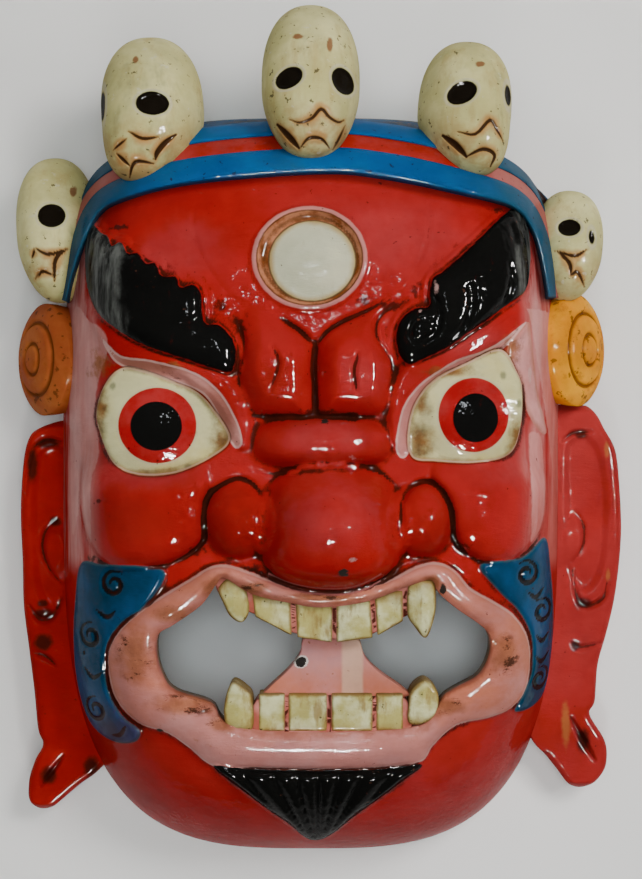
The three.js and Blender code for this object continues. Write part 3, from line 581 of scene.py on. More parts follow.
# %% Node helpers
class Nodes:
    """A few short ways to write a node tree."""

    def __init__(self, tree):
        self.tree = tree
        self.place = self.add("ShaderNodeTexCoord").outputs["Object"]

    def add(self, kind, **settings):
        node = self.tree.nodes.new(kind)
        for key, value in settings.items():
            setattr(node, key, value)
        return node

    def link(self, value, socket):
        """Links a socket, or sets a constant. A colour is written with three numbers."""
        if isinstance(value, bpy.types.NodeSocket):
            self.tree.links.new(value, socket)
        else:
            socket.default_value = (*value, 1) if socket.type == "RGBA" else value

    def use(self, group, **values):
        """Places a shader node group with its own values."""
        node = self.add("ShaderNodeGroup", node_tree=group)
        for name, value in values.items():
            self.link(value, node.inputs[name])
        return node.outputs

    def field(self, name):
        return self.add("ShaderNodeAttribute", attribute_name=name).outputs["Fac"]

    def noise(self, scale, detail=3.0, rough=0.55, stretch=None):
        node = self.add("ShaderNodeTexNoise")
        place = self.place
        if stretch is not None:
            turn = self.add("ShaderNodeMapping")
            self.link(place, turn.inputs["Vector"])
            self.link(stretch, turn.inputs["Scale"])
            place = turn.outputs["Vector"]
        self.link(place, node.inputs["Vector"])
        self.link(scale, node.inputs["Scale"])
        self.link(detail, node.inputs["Detail"])
        self.link(rough, node.inputs["Roughness"])
        return node.outputs["Fac"]

    def math(self, operation, a, b=0.0, c=None):
        node = self.add("ShaderNodeMath", operation=operation)
        self.link(a, node.inputs[0])
        self.link(b, node.inputs[1])
        if c is not None:
            self.link(c, node.inputs[2])
        return node.outputs[0]

    def ramp(self, value, start, end, top=1.0, bottom=0.0):
        node = self.add("ShaderNodeMapRange", interpolation_type="SMOOTHSTEP")
        self.link(value, node.inputs["Value"])
        self.link(start, node.inputs["From Min"])
        self.link(end, node.inputs["From Max"])
        self.link(bottom, node.inputs["To Min"])
        self.link(top, node.inputs["To Max"])
        return node.outputs["Result"]

    def mix(self, fac, a, b):
        node = self.add("ShaderNodeMix", data_type="RGBA")
        self.link(fac, node.inputs["Factor"])
        self.link(a, node.inputs["A"])
        self.link(b, node.inputs["B"])
        return node.outputs["Result"]


def new_group(name, inputs, outputs):
    """An empty shader node group with named sockets: its writer, what goes in and what comes out."""
    tree = bpy.data.node_groups.new(name, "ShaderNodeTree")
    for way, sockets in (("INPUT", inputs), ("OUTPUT", outputs)):
        for label, kind in sockets.items():
            tree.interface.new_socket(label, in_out=way, socket_type="NodeSocket" + kind)
    nodes = Nodes(tree)
    return nodes, nodes.add("NodeGroupInput").outputs, nodes.add("NodeGroupOutput").inputs


print("node helpers ready")

# %% [markdown]
# ## Effects that all the paints share
# Every paint on the mask was mixed by hand, laid with an uneven edge, and has aged in the same room.
# Such an effect is a node group, built once and placed in each paint with values of its own.

# %% Clouds, uneven edges and specks
g, given, out = new_group("cloudy_mix", {"first": "Color", "second": "Color", "scale": "Float",
                                         "stretch": "Vector", "start": "Float", "end": "Float"},
                          {"paint": "Color"})
cloud = g.ramp(g.noise(given["scale"], 4, 0.6, given["stretch"]), given["start"], given["end"])
g.link(g.mix(cloud, given["first"], given["second"]), out["paint"])
CLOUDY_MIX = g.tree

g, given, out = new_group("uneven_edge", {"field": "Float", "amount": "Float", "scale": "Float"},
                          {"field": "Float"})
shake = g.math("SUBTRACT", g.noise(given["scale"], 4, 0.6), 0.5)
amount = g.math("MULTIPLY", given["amount"], 2.0)
g.link(g.math("MULTIPLY_ADD", shake, amount, given["field"]), out["field"])
UNEVEN_EDGE = g.tree

g, given, out = new_group("specks", {"paint": "Color", "speck": "Color", "scale": "Float",
                                     "start": "Float", "top": "Float"}, {"paint": "Color"})
fleck = g.ramp(g.noise(given["scale"], 3, 0.6), given["start"], g.math("ADD", given["start"], 0.05),
               top=given["top"])
g.link(g.mix(fleck, given["paint"], given["speck"]), out["paint"])
SPECKS = g.tree
print("groups:", CLOUDY_MIX.name, UNEVEN_EDGE.name, SPECKS.name)

# %% [markdown]
# ## Old varnish and brush marks
# Varnish turns brown where it lies thick, so dirt fills the fine hollows and a thin wash the broad
# ones, both broken up by noise. Brush marks change the tone and the roughness a little, and they are
# handed on as a height for a bump.

# %% Old varnish and brush marks
g, given, out = new_group("old_varnish", {"paint": "Color", "dirt": "Color", "wash": "Color",
                                          "strength": "Float", "fine_start": "Float", "fine_end": "Float",
                                          "broad_start": "Float", "broad_end": "Float"},
                          {"paint": "Color"})
cloud = g.math("SUBTRACT", g.noise(150, 6, 0.75), 0.5)
near = g.math("MULTIPLY_ADD", cloud, g.math("MULTIPLY", given["fine_end"], 1.9), g.field("fine"))
wide = g.math("MULTIPLY_ADD", cloud, given["broad_end"], g.field("broad"))
thin = g.ramp(wide, given["broad_start"], given["broad_end"], g.math("MULTIPLY", given["strength"], 0.7))
thick = g.ramp(near, given["fine_start"], given["fine_end"], given["strength"])
washed = g.mix(thin, given["paint"], given["wash"])
g.link(g.mix(thick, washed, given["dirt"]), out["paint"])
OLD_VARNISH = g.tree

g, given, out = new_group("brush_marks", {"paint": "Color", "smooth": "Float", "rough": "Float"},
                          {"paint": "Color", "roughness": "Float", "height": "Float"})
tone = g.add("ShaderNodeHueSaturation")
g.link(g.ramp(g.noise(38, 4, 0.6), 0.25, 0.75, top=1.12, bottom=0.84), tone.inputs["Value"])
g.link(given["paint"], tone.inputs["Color"])
g.link(tone.outputs["Color"], out["paint"])
g.link(g.ramp(g.noise(120, 5, 0.7), 0.3, 0.7, given["rough"], given["smooth"]), out["roughness"])
hairs = g.noise(90, 7, 0.68, stretch=(1, 3.0, 1))
g.link(g.math("MULTIPLY_ADD", g.noise(420, 4, 0.65), 0.25, hairs), out["height"])
BRUSH_MARKS = g.tree
print("groups:", OLD_VARNISH.name, BRUSH_MARKS.name)


# %% Paint maker
class Paint(Nodes):
    """A material that is built up in layers of paint."""

    def __init__(self, name):
        self.material = bpy.data.materials.new(name)
        self.material.use_nodes = True
        super().__init__(self.material.node_tree)
        self.shader = self.tree.nodes["Principled BSDF"]

    def clouds(self, a, b, scale, stretch=(1, 1, 1), start=0.35, end=0.7):
        """Two tones of one paint, mixed in clouds or strokes."""
        return self.use(CLOUDY_MIX, first=a, second=b, scale=scale, stretch=stretch, start=start,
                        end=end)["paint"]

    def wobble(self, name, amount=0.5, scale=260):
        """Field value with an uneven edge."""
        return self.use(UNEVEN_EDGE, field=self.field(name), amount=amount, scale=scale)["field"]

    def layer(self, colour, name, paint, edge=0.35, amount=0.4, start=0.0, top=1.0):
        place = self.wobble(name, amount)
        return self.mix(self.ramp(place, start - edge, start + edge, top=top), colour, paint)

    def line(self, colour, name, middle, half, paint, top=1.0):
        """A thin painted line where the field is near one value."""
        away = self.math("ABSOLUTE", self.math("SUBTRACT", self.wobble(name, 0.25), middle))
        return self.mix(self.ramp(away, half, half * 0.3, top=top), colour, paint)

    def age(self, colour, dirt, strength=1.0, fine=(0.13, 0.42), broad=(0.5, 2.4), wash=None):
        return self.use(OLD_VARNISH, paint=colour, dirt=dirt, wash=wash or dirt, strength=strength,
                        fine_start=fine[0], fine_end=fine[1], broad_start=broad[0],
                        broad_end=broad[1])["paint"]

    def specks(self, colour, paint, scale, start, top=0.8):
        """Small chips and splashes."""
        return self.use(SPECKS, paint=colour, speck=paint, scale=scale, start=start, top=top)["paint"]

    def finish(self, colour, rough=(0.35, 0.55), coat=0.22, bump=0.42, gloss=0.05):
        """Brush marks under a coat of gloss, which has slower waves of its own and so stays crisp."""
        marks = self.use(BRUSH_MARKS, paint=colour, smooth=rough[0], rough=rough[1])
        self.link(marks["paint"], self.shader.inputs["Base Color"])
        self.link(marks["roughness"], self.shader.inputs["Roughness"])
        self.shader.inputs["Coat Weight"].default_value = coat
        self.shader.inputs["Coat Roughness"].default_value = gloss
        self.shader.inputs["Coat IOR"].default_value = 1.32
        self.shader.inputs["Specular IOR Level"].default_value = 0.0
        bumps = [("Normal", marks["height"], bump), ("Coat Normal", self.noise(210, 2, 0.5), bump * 0.9)]
        for socket, height, strength in bumps:
            node = self.add("ShaderNodeBump")
            node.inputs["Strength"].default_value = strength
            node.inputs["Distance"].default_value = 0.0012
            self.link(height, node.inputs["Height"])
            self.link(node.outputs["Normal"], self.shader.inputs[socket])
        return self.material


RED, RED_WARM, RED_SHEEN = (0.34, 0.01, 0.009), (0.34, 0.018, 0.017), (0.37, 0.034, 0.034)
PINK, SALMON = (0.52, 0.2, 0.175), (0.48, 0.15, 0.09)
LIGHT_PINK = (0.62, 0.38, 0.34)
CREAM, CREAM_YELLOW = (0.58, 0.55, 0.29), (0.55, 0.46, 0.16)
BLACK = (0.005, 0.005, 0.0045)
BLUE, BLUE_LIGHT = (0.004, 0.036, 0.072), (0.006, 0.058, 0.15)
IRIS_RED = (0.34, 0.007, 0.009)
DIRT, BROWN, RUST = (0.022, 0.007, 0.0035), (0.1, 0.035, 0.01), (0.27, 0.09, 0.025)
DEEP_RED = (0.13, 0.008, 0.004)
GREEN_GREY = (0.12, 0.13, 0.07)
print("paints named")

# %% [markdown]
# ## Painting the face
# The fields are measured again on the cut mesh, because the cut added points. The hollow behind and
# the rim are bare, oiled wood, so the field called wood marks all that faces down or lies inside.
# Stains, chips, worn places, brown spots on the eyes and spots of painted sheen and painted shade are short
# lists of soft spots.

# %% Fields on the face mesh
def drawing_points(mesh):
    co = read_points(mesh) / MM
    return co[:, 0] - shift_x, co[:, 1] - shift_y, co[:, 2]


def spots(x, y, marks):
    """Soft spots: near one in the middle, zero at the edge and below it outside."""
    return np.maximum.reduce([1 - np.hypot((x - cx) / rx, (y - cy) / ry) for cx, cy, rx, ry in marks])


IRIS = [((-73.5, 6.3), (17.6, 17.0)), ((68.5, 11.0), (15.8, 16.7))]
PUPIL = [((-73.9, 6.0), (11.6, 11.0)), ((69.3, 9.7), (10.2, 11.0))]
# pink places beside the outer corners of the eyes: partly pink paint, partly painted sheen
OUTER_PINK = [
    [(-118, 56), (-106, 54), (-98, 48), (-97, 40), (-101, 30), (-104, 14), (-102, -8), (-112, -30),
     (-118, -40)],
    [(95, 60), (97, 53), (107, 4), (112, -20), (118, -30), (118, 50)],
]
# each: centre x and y, half sizes
# brown spots on the whites of the eyes, along the lids and in the corners
EYE_DARK_SPOTS = [(-44, -1, 13, 16), (-100, 14, 7, 22), (-78, -17, 34, 6), (44, -1, 12, 17), (45, 16, 7, 9),
              (88, 1, 7, 18), (66, -12, 30, 5), (58, 31, 22, 5)]
GREEN_SPOTS = [(82, 29, 2.4, 3), (89, 16, 2.2, 3.2), (-94, 24, 2.5, 3), (-60, -12, 3, 2)]
FACE_STAINS = [(-37, 51, 9, 9), (32, 60, 13, 6), (20, 62, 10, 5), (38, 46, 7, 16), (-38, 34, 5, 14),
               (-45, 60, 7, 5), (43, 67, 6, 7), (-58, 2, 3, 3), (-100, -28, 5, 2), (-56, -50, 9, 4),
               (62, -48, 8, 4), (0, 12, 26, 3.5), (-106, -55, 5, 4), (98, -50, 5, 4), (-30, -58, 14, 4),
               (34, -60, 12, 4), (-92, 97, 10, 2.5), (80, 105, 8, 2.5)]
LID_STAINS = [(87, 42, 7, 10), (-101, 34, 8, 10), (52, 30, 8, 3), (-66, 33, 9, 2.5)]
LIP_STAINS = [(-48, -66, 7, 5), (50, -65, 5, 6), (-66, -78, 12, 5), (-84, -97, 10, 15), (84, -98, 8, 11),
              (-61, -119, 18, 6), (-45, -128, 8, 5), (-30, -66, 8, 3), (58, -120, 9, 5), (0, -70, 22, 2.5)]
CHIPS = [(1.8, 8, 2.6, 1.5), (9.6, -58, 4.2, 2.4), (54.5, -67, 2, 4), (-73, -132, 2.4, 1.4)]
WORN = [(51.3, 67.4, 2.2, 5), (44, 57, 1.6, 1.4), (14, -52, 4, 2), (96, 30, 2, 8), (14, -8, 3, 2)]
# spots of painted sheen: a lighter, pinker red on the nose, bridge, forehead, knots, cheeks and chin
SHEEN_SPOTS = [(4, -34, 30, 26), (2, 0, 32, 12), (30, 92, 60, 26), (-60, 84, 34, 22), (16, 30, 14, 16),
         (80, -8, 34, 20), (60, 45, 44, 16), (-78, -12, 34, 14), (60, -160, 44, 22)]
# spots of painted shade: deep red over the left nose wing, cheek, knot and jaw and the right wing
SHADE_SPOTS = [(-38, -38, 19, 21), (-96, -148, 30, 40), (-18, 27, 15, 16), (-84, -36, 30, 16), (50, -38, 13, 18)]
# middle line of the crown's blue stripe, round the brow from temple to temple
CROWN_PATH = [(-119.5, 65), (-114.5, 80.5), (-109, 93), (-102, 104), (-90.5, 109), (-57, 115.5), (0, 119.8),
              (28, 117.5), (64.5, 110.6), (88, 106), (97.5, 97), (102, 84), (105.5, 66)]
px, py, pz = drawing_points(face_mesh)
f = face_fields(px, py)
bare_height = block_height(px, py)
iris = np.maximum(*[leaf_in(px, py, *form) for form in IRIS])
pupil = np.maximum(*[leaf_in(px, py, *form) for form in PUPIL])
# flank and facet mark the faces turned sideways, which take the rose paint with its painted sheen
flank = np.minimum(np.minimum(84 - bare_height, np.abs(px - HEAD_CENTRE[0]) - 96), py + 62)
facet = np.minimum(f["cheek"] - 1, np.where(px > 0, px - 96, -105 - px))
fields = {
    "wood": np.maximum(bare_height - 9 - pz, 1 - pz), "black": np.maximum(f["brow"] - 0.1, f["chin"]),
    "lid": np.minimum(f["lid"], -f["brow"]), "lip": f["lip"], "third": f["third"], "disc": f["disc"],
    "outer": np.maximum(deepest(px, py, OUTER_PINK), facet), "blue": f["beard"], "flank": flank,
    "eye": f["eye"], "iris": iris, "pupil": pupil, "chin": f["chin"],
    "eye_dark_spots": spots(px, py, EYE_DARK_SPOTS), "green": spots(px, py, GREEN_SPOTS),
    "stain": spots(px, py, FACE_STAINS), "lip_stain": spots(px, py, LIP_STAINS),
    "chip": spots(px, py, CHIPS), "pale_marks": spots(px, py, WORN),
    "temple": np.abs(px) - 78, "painted_shade": spots(px, py, SHADE_SPOTS), "low": -124 - py, "right": px,
    "painted_sheen": spots(px, py, SHEEN_SPOTS), "flap": f["flap"], "lip_in": f["lip_in"],
    "lid_stain": spots(px, py, LID_STAINS),
    "crest": np.minimum(to_segments(px, py, smooth_curve(CROWN_PATH), False, 60.0)[0] - 27, py - 105),
    "curl": carve_lines(px, py, BEARD_LINES),
    "nose_rim": to_segments(px, py, smooth_curve(NOSE_RIM), False, 8.0)[0] + 9 * (np.abs(px - 2) > 26),
}
for name, values in fields.items():
    store(face_mesh, name, values)
fine, broad = store_creases(face_mesh)
print("creases: fine to", round(float(fine.max()), 2), "broad to", round(float(broad.max()), 2))

# %% [markdown]
# ## The colours of the face
# The paint goes on as the painter laid it: the red ground first, then the pinks of the lids and lips,
# the blue and the eyes, and the black hair last. Dirt lies between them, where it gathered. Among the
# coats go painted sheen on the high and the sideways faces and painted shade in a few places.

# %% Face paint
p = Paint("face_paint")
skin = p.clouds(RED, RED_WARM, 9)
# painted sheen: the red turns lighter and pinker in the sheen spots
skin = p.mix(p.ramp(p.wobble("painted_sheen", 0.7, 30), 0.0, 0.9), skin, p.clouds(RED_SHEEN, RED_WARM, 36))
# rose for the flanks, outer facets and pink places: partly the paint's own pink, partly painted sheen,
# lighter on the right
rose_and_sheen_left = p.clouds((0.42, 0.12, 0.1), (0.54, 0.26, 0.24), 30, (1.6, 0.25, 1))
rose_and_sheen_right = p.clouds((0.5, 0.12, 0.1), (0.62, 0.27, 0.25), 30, (1.6, 0.25, 1))
rose_and_sheen = p.mix(p.ramp(p.field("right"), -20, 20), rose_and_sheen_left, rose_and_sheen_right)
strokes = p.ramp(p.noise(42, 4, 0.65, (1.8, 0.2, 1)), 0.36, 0.6, top=0.8)
skin = p.mix(p.math("MULTIPLY", p.ramp(p.field("flank"), -3, 8), strokes), skin, rose_and_sheen)
skin = p.layer(skin, "outer", rose_and_sheen, 0.5, 0.9)
skin = p.layer(skin, "stain", DIRT, 0.2, 0.9, 0.62, 0.8)
pink = p.clouds(SALMON, PINK, 34, (0.6, 1.5, 1))
lid_left = p.clouds((0.36, 0.13, 0.1), (0.5, 0.22, 0.19), 40)
lid_right = p.clouds((0.5, 0.17, 0.15), (0.62, 0.28, 0.26), 40)
lid = p.mix(p.ramp(p.field("right"), -20, 20), lid_left, lid_right)
skin = p.layer(skin, "lid", lid, 0.3)
skin = p.layer(skin, "flap", p.mix(p.ramp(p.wobble("flap", 3, 90), 2.5, 0.5, top=0.35), lid, RUST), 0.3)
skin = p.mix(p.ramp(p.wobble("lid_stain", 1.2, 200), 0.1, 1.0, top=0.85), skin, p.clouds(RUST, BROWN, 90))
skin = p.line(skin, "lid", 0.5, 0.7, LIGHT_PINK, 0.7)
lip = p.mix(p.ramp(p.wobble("low", 16, 40), -4, 14), pink, p.clouds(PINK, (0.58, 0.27, 0.25), 40))
# the lips darken to brown towards their inner edge: partly stain, partly painted shade where they roll into
# the mouth
lip = p.mix(p.ramp(p.wobble("lip_in", 7, 110), 4.0, -1.0, top=0.6), lip, (0.3, 0.085, 0.045))
stained = p.clouds((0.2, 0.065, 0.025), (0.38, 0.13, 0.06), 110)
lip = p.mix(p.ramp(p.wobble("lip_stain", 0.6, 120), -0.1, 0.7, top=0.8), lip, stained)
cracks = p.ramp(p.noise(90, 8, 0.8, (0.6, 1.4, 1)), 0.52, 0.58)
cracks = p.math("MULTIPLY", cracks, p.ramp(p.field("lip_stain"), -0.05, 0.45, top=0.95))
lip = p.mix(cracks, lip, (0.05, 0.018, 0.01))
skin = p.layer(skin, "lip", p.mix(p.ramp(p.noise(130, 5, 0.7), 0.6, 0.75, top=0.5), lip, RUST))
skin = p.line(skin, "lip", 0.5, 0.8, LIGHT_PINK, 0.5)
skin = p.layer(skin, "blue", p.clouds(BLUE, BLUE_LIGHT, 30))
skin = p.line(skin, "blue", 0.3, 0.8, (0.03, 0.09, 0.11), 0.6)
skin = p.layer(skin, "curl", (0.006, 0.009, 0.009), 0.35, 0.3, 0.7, 0.95)
skin = p.layer(skin, "crest", p.clouds((0.002, 0.03, 0.08), (0.005, 0.07, 0.2), 40), 0.6, 0.6)
# painted shade: deep red laid over the shade spots
skin = p.mix(p.ramp(p.wobble("painted_shade", 0.5, 50), 0.0, 0.8, top=0.3), skin, DEEP_RED)
skin = p.age(skin, p.clouds(DIRT, (0.07, 0.008, 0.004), 45), 0.92, wash=DEEP_RED)
# a lighter pink line along the edge of the carved nose rim: partly worn paint, partly a painted highlight
skin = p.line(skin, "nose_rim", 1.6, 0.6, (0.42, 0.13, 0.12), 0.6)
skin = p.layer(skin, "third", p.clouds(PINK, (0.5, 0.17, 0.15), 60), 0.3)
# the wall of the dish round the third eye is brown with a brown line: partly brown paint, partly painted
# shade
wall = p.clouds((0.5, 0.2, 0.1), (0.22, 0.06, 0.015), 90, start=0.4, end=0.62)
skin = p.layer(skin, "third", p.age(wall, BROWN, 0.8), 0.3, 0.3, 1.9)
skin = p.line(skin, "third", 2.0, 0.5, BROWN, 0.8)
cream = p.clouds(CREAM, CREAM_YELLOW, 30, start=0.4, end=0.8)
eye_brown = p.clouds((0.2, 0.08, 0.018), (0.05, 0.022, 0.01), 90)
# brown spots on the whites, along the lids and in the corners
cream = p.mix(p.ramp(p.wobble("eye_dark_spots", 0.6, 130), 0.15, 0.95, top=0.95), cream, eye_brown)
cream = p.mix(p.ramp(p.wobble("eye", 2.4, 160), 2.0, 0.2, top=0.7), cream, (0.42, 0.28, 0.08))
cream = p.layer(cream, "green", GREEN_GREY, 0.3, 0.3, 0.4, 0.7)
skin = p.layer(skin, "eye", p.age(cream, BROWN, 0.3), 0.3, 0.2)
disc = p.clouds((0.5, 0.5, 0.35), (0.56, 0.54, 0.37), 40)
# painted shade: the disc turns yellow-brown towards its edge, where it meets the dish
disc = p.mix(p.ramp(p.wobble("disc", 2.5, 60), 3.2, 0.2, top=0.8), disc, (0.4, 0.26, 0.08))
skin = p.layer(skin, "disc", disc, 0.3, 0.3)
skin = p.line(skin, "disc", 0.1, 0.6, (0.06, 0.025, 0.01), 0.75)
skin = p.line(skin, "eye", 0.5, 0.6, LIGHT_PINK, 0.5)
skin = p.line(skin, "eye", -0.4, 0.5, DIRT, 0.5)
skin = p.line(skin, "iris", -0.5, 0.7, (0.55, 0.46, 0.3), 0.6)
skin = p.layer(skin, "iris", p.clouds(IRIS_RED, (0.36, 0.025, 0.024), 90), 0.25, 0.15)
skin = p.layer(skin, "pupil", BLACK, 0.25, 0.15)
# grey at the outer ends of the brows: partly grey strokes, partly painted sheen on the black
streaks = p.clouds((0.012, 0.012, 0.011), (0.11, 0.115, 0.105), 150, (1.4, 0.2, 1), 0.38, 0.66)
black = p.mix(p.ramp(p.wobble("temple", 12, 60), 9, 17), BLACK, streaks)
black = p.specks(black, (0.1, 0.04, 0.025), 240, 0.68, 0.6)
skin = p.layer(skin, "black", black, 0.3, 0.7)
skin = p.layer(skin, "chip", (0.03, 0.024, 0.02), 0.15, 0.6, 0.3)
skin = p.layer(skin, "pale_marks", (0.5, 0.3, 0.27), 0.2, 0.9, 0.5, 0.7)
skin = p.specks(skin, DIRT, 310, 0.7, 0.75)
skin = p.mix(p.ramp(p.noise(200, 6, 0.8, (1, 0.35, 1)), 0.6, 0.75, top=0.3), skin, DEEP_RED)
bare = p.clouds((0.13, 0.07, 0.035), (0.25, 0.15, 0.08), 28, (1, 0.12, 1), 0.3)
skin = p.mix(p.ramp(p.field("wood"), -0.3, 0.3), skin, bare)
finish_piece("face", face_mesh, p.finish(skin))

# %% [markdown]
# ## Crown stripes
# Three painted stripes wrap round the brow as thick bands. Each is a grid rolled into a long tube
# with a flat, rounded section, laid along the path of the crown and set on the block.

# %% Crown stripes
# each: name, distance from the path, width, rise
STRIPES = [("stripe_blue", 0.0, 12.5, 8.0), ("stripe_red", 11.5, 9.2, 5.5), ("stripe_thin", 19.7, 9.5, 7.5)]
STRIPE_STANDOFF, STRIPE_FLOOR, STRIPE_SINK = 3.0, 18.0, 14.0


def wrapped(name, around, rows, shape):
    """A grid rolled into a closed form: the first number runs round it and the second along it."""
    mesh, co = grid_mesh(around, rows, name)
    write_points(mesh, *shape((co[:, 0] + 1) / 2, (co[:, 1] + 1) / 2))
    bm = bmesh.new()
    bm.from_mesh(mesh)
    bmesh.ops.remove_doubles(bm, verts=bm.verts[:], dist=1e-6)
    bmesh.ops.holes_fill(bm, edges=[e for e in bm.edges if e.is_boundary])
    bmesh.ops.triangulate(bm, faces=[f for f in bm.faces if len(f.verts) > 4])
    bmesh.ops.recalc_face_normals(bm, faces=bm.faces[:])
    bm.to_mesh(mesh)
    bm.free()
    return mesh


def stripe_mesh(name, start, width, rise):
    path = smooth_curve(CROWN_PATH, per=14)
    length = np.concatenate([[0], np.cumsum(np.hypot(*np.diff(path, axis=0).T))])
    slope = np.gradient(path, length, axis=0)

    def shape(u, v):
        cx, cy = (np.interp(v * length[-1], length, column) for column in path.T)
        sx, sy = (np.interp(v * length[-1], length, column) for column in slope.T)
        turn = u * 2 * math.pi
        side = -np.sign(np.cos(turn)) * np.abs(np.cos(turn)) ** 0.6
        over = np.sign(np.sin(turn)) * np.abs(np.sin(turn)) ** 0.45
        off = (start + width * (0.5 + 0.5 * side)) * (1 - 0.55 * np.abs(2 * v - 1) ** 3)
        x, y = cx - sy / np.hypot(sx, sy) * off, cy + sx / np.hypot(sx, sy) * off
        ground = np.maximum(STRIPE_FLOOR, block_height(x, y, STRIPE_STANDOFF))
        lifted = ground + rise * (0.35 + 0.65 * over)
        sunk = np.maximum(4.0, ground + rise * 0.35 + STRIPE_SINK * over)
        return x, y, np.where(over > 0, lifted, sunk)

    return wrapped(name, 20, 240, shape)


def band_paint(name, colour, light, pale_marks, side):
    p = Paint(name)
    tone = p.clouds(colour, light, 40)
    tone = p.mix(p.ramp(p.noise(26, 5, 0.7), 0.52, 0.75, top=0.65), tone, pale_marks)
    # towards the sides of the head the stripes take their side tone: on the red a paler pink, partly paler
    # paint and partly painted sheen on faces turned sideways; on the blue a darker grey-blue
    tone = p.mix(p.ramp(p.wobble("side", 20, 40), 56, 98, top=0.8), tone, side)
    tone = p.specks(tone, DIRT, 260, 0.66, 0.7)
    return p.finish(p.age(tone, DIRT, 0.95, (0.05, 0.3)), coat=0.16)


blue_paint = band_paint("blue_paint", (0.003, 0.075, 0.24), (0.006, 0.095, 0.26), (0.02, 0.085, 0.16),
                        (0.022, 0.07, 0.1))
red_paint = band_paint("red_paint", (0.3, 0.014, 0.009), (0.36, 0.03, 0.025), (0.24, 0.055, 0.05),
                       (0.4, 0.14, 0.12))
for name, start, width, rise in STRIPES:
    mesh = stripe_mesh(name, start, width, rise)
    store(mesh, "side", np.abs(drawing_points(mesh)[0] + 5))
    store_creases(mesh)
    finish_piece(name, mesh, red_paint if name == "stripe_red" else blue_paint)

# %% [markdown]
# ## Skulls
# Five skulls stand on the crown, their jaws over the stripes. A ball is drawn to the plan of a
# skull, then the sockets are pressed in and the nose, jaw and mouth lines are cut.

# %% Skull shapes
SKULLS = {
    "skull_middle": dict(
        at=(-4.7, 163), half=(22.4, 37), mid=88, deep=28, lean=0, turn=0, jaw=0, fine=7,
        eyes=[((-14.2, 160.3), (6.4, 4.7), 0.45), ((9.8, 159.6), (4.9, 6.4), 0.35)],
        lines=[([(-13.8, 141.6), (-9.3, 140.1), (-4, 141.9), (0, 145.9), (3.6, 142.7), (7.5, 141),
                 (10.2, 142.3)], 1.0, 1.2),
               ([(-19.5, 140.5), (-14, 134.5), (-9.8, 129.9)], 1.5, 1.8),
               ([(-8.9, 130.3), (-6, 133.2), (-2.7, 133.9), (0.8, 133), (3.6, 130.3)], 1.0, 1.3),
               ([(10.9, 140.5), (8, 134.5), (5.3, 129.9)], 0.8, 0.8)]),
    "skull_left": dict(
        at=(-77.7, 152.2), half=(23.3, 35.3), mid=76, deep=28, lean=-0.2, turn=0.06, jaw=-5, fine=7,
        eyes=[((-75.7, 150.9), (7.4, 5.6), 0.0), ((-99.5, 151.8), (1.6, 6.7), 0.0)],
        lines=[([(-86, 137.8), (-79.9, 134.6), (-72.8, 135.5)], 1.0, 1.2),
               ([(-65.4, 137.3), (-69.9, 133.5), (-73.5, 129), (-74.4, 126.1)], 1.4, 1.7),
               ([(-93.4, 130.1), (-86.9, 134.6)], 0.9, 1.0), ([(-91.8, 128.4), (-86, 123)], 1.0, 1.2),
               ([(-86.5, 118.5), (-83.3, 124.5), (-75.3, 124.1)], 1.0, 1.3)]),
    "skull_right": dict(
        at=(66.2, 152.8), half=(21.3, 32.5), mid=76, deep=28, lean=0.2, turn=-0.08, jaw=5, fine=7,
        eyes=[((63.4, 155.9), (7.1, 5.1), 0.5), ((85, 156.4), (1.8, 4.9), 0.0)],
        lines=[([(61.4, 137.9), (69, 136.6), (75.7, 143.1), (79, 139), (82, 134.6)], 1.0, 1.3),
               ([(54.9, 137.1), (60.5, 132.5), (65.4, 127.2)], 1.6, 1.9),
               ([(65.4, 127.2), (72.6, 130.1), (78, 128.1), (76.6, 123.4)], 1.1, 1.4)]),
    "skull_far_left": dict(
        at=(-126.5, 101), half=(19, 36), mid=36, deep=26, lean=-0.35, turn=0.1, jaw=0, fine=6,
        eyes=[((-126.8, 105.3), (6.3, 5.8), 0.0)],
        lines=[([(-134, 89.5), (-126.9, 86.7), (-119.4, 89.5)], 1.0, 1.3),
               ([(-134, 89.5), (-135.4, 84.4)], 0.9, 1.1),
               ([(-119.4, 89.5), (-124.3, 84.4), (-125, 74.5)], 1.1, 1.5),
               ([(-134, 75.4), (-130.2, 78.7), (-125, 76.4)], 1.0, 1.3)]),
    "skull_far_right": dict(
        at=(118.5, 93.5), half=(16.5, 27.5), mid=35, deep=25, lean=0.3, turn=-0.12, jaw=0, fine=6,
        eyes=[((117.3, 100), (5.2, 4.2), 0.0), ((127.6, 95.4), (1.5, 3.5), 0.0)],
        lines=[([(110.3, 89.1), (118.9, 86.2), (124.6, 89.1)], 1.0, 1.3),
               ([(112.3, 87.4), (116.6, 83), (117.5, 77.3)], 1.1, 1.5),
               ([(117.5, 76.8), (120.3, 78.7), (124.3, 72.3)], 1.0, 1.3)]),
}
SKULL_FULL, SKULL_JAW, SKULL_TILT, SOCKET_DEPTH = 2.3, 0.92, 0.3, 2.6
SCARS = [(-10.3, 180, 3.4, 2.2), (4, 176, 2, 5), (-84, 172, 2, 3), (72, 170, 3, 2), (-118, 118, 2, 4)]


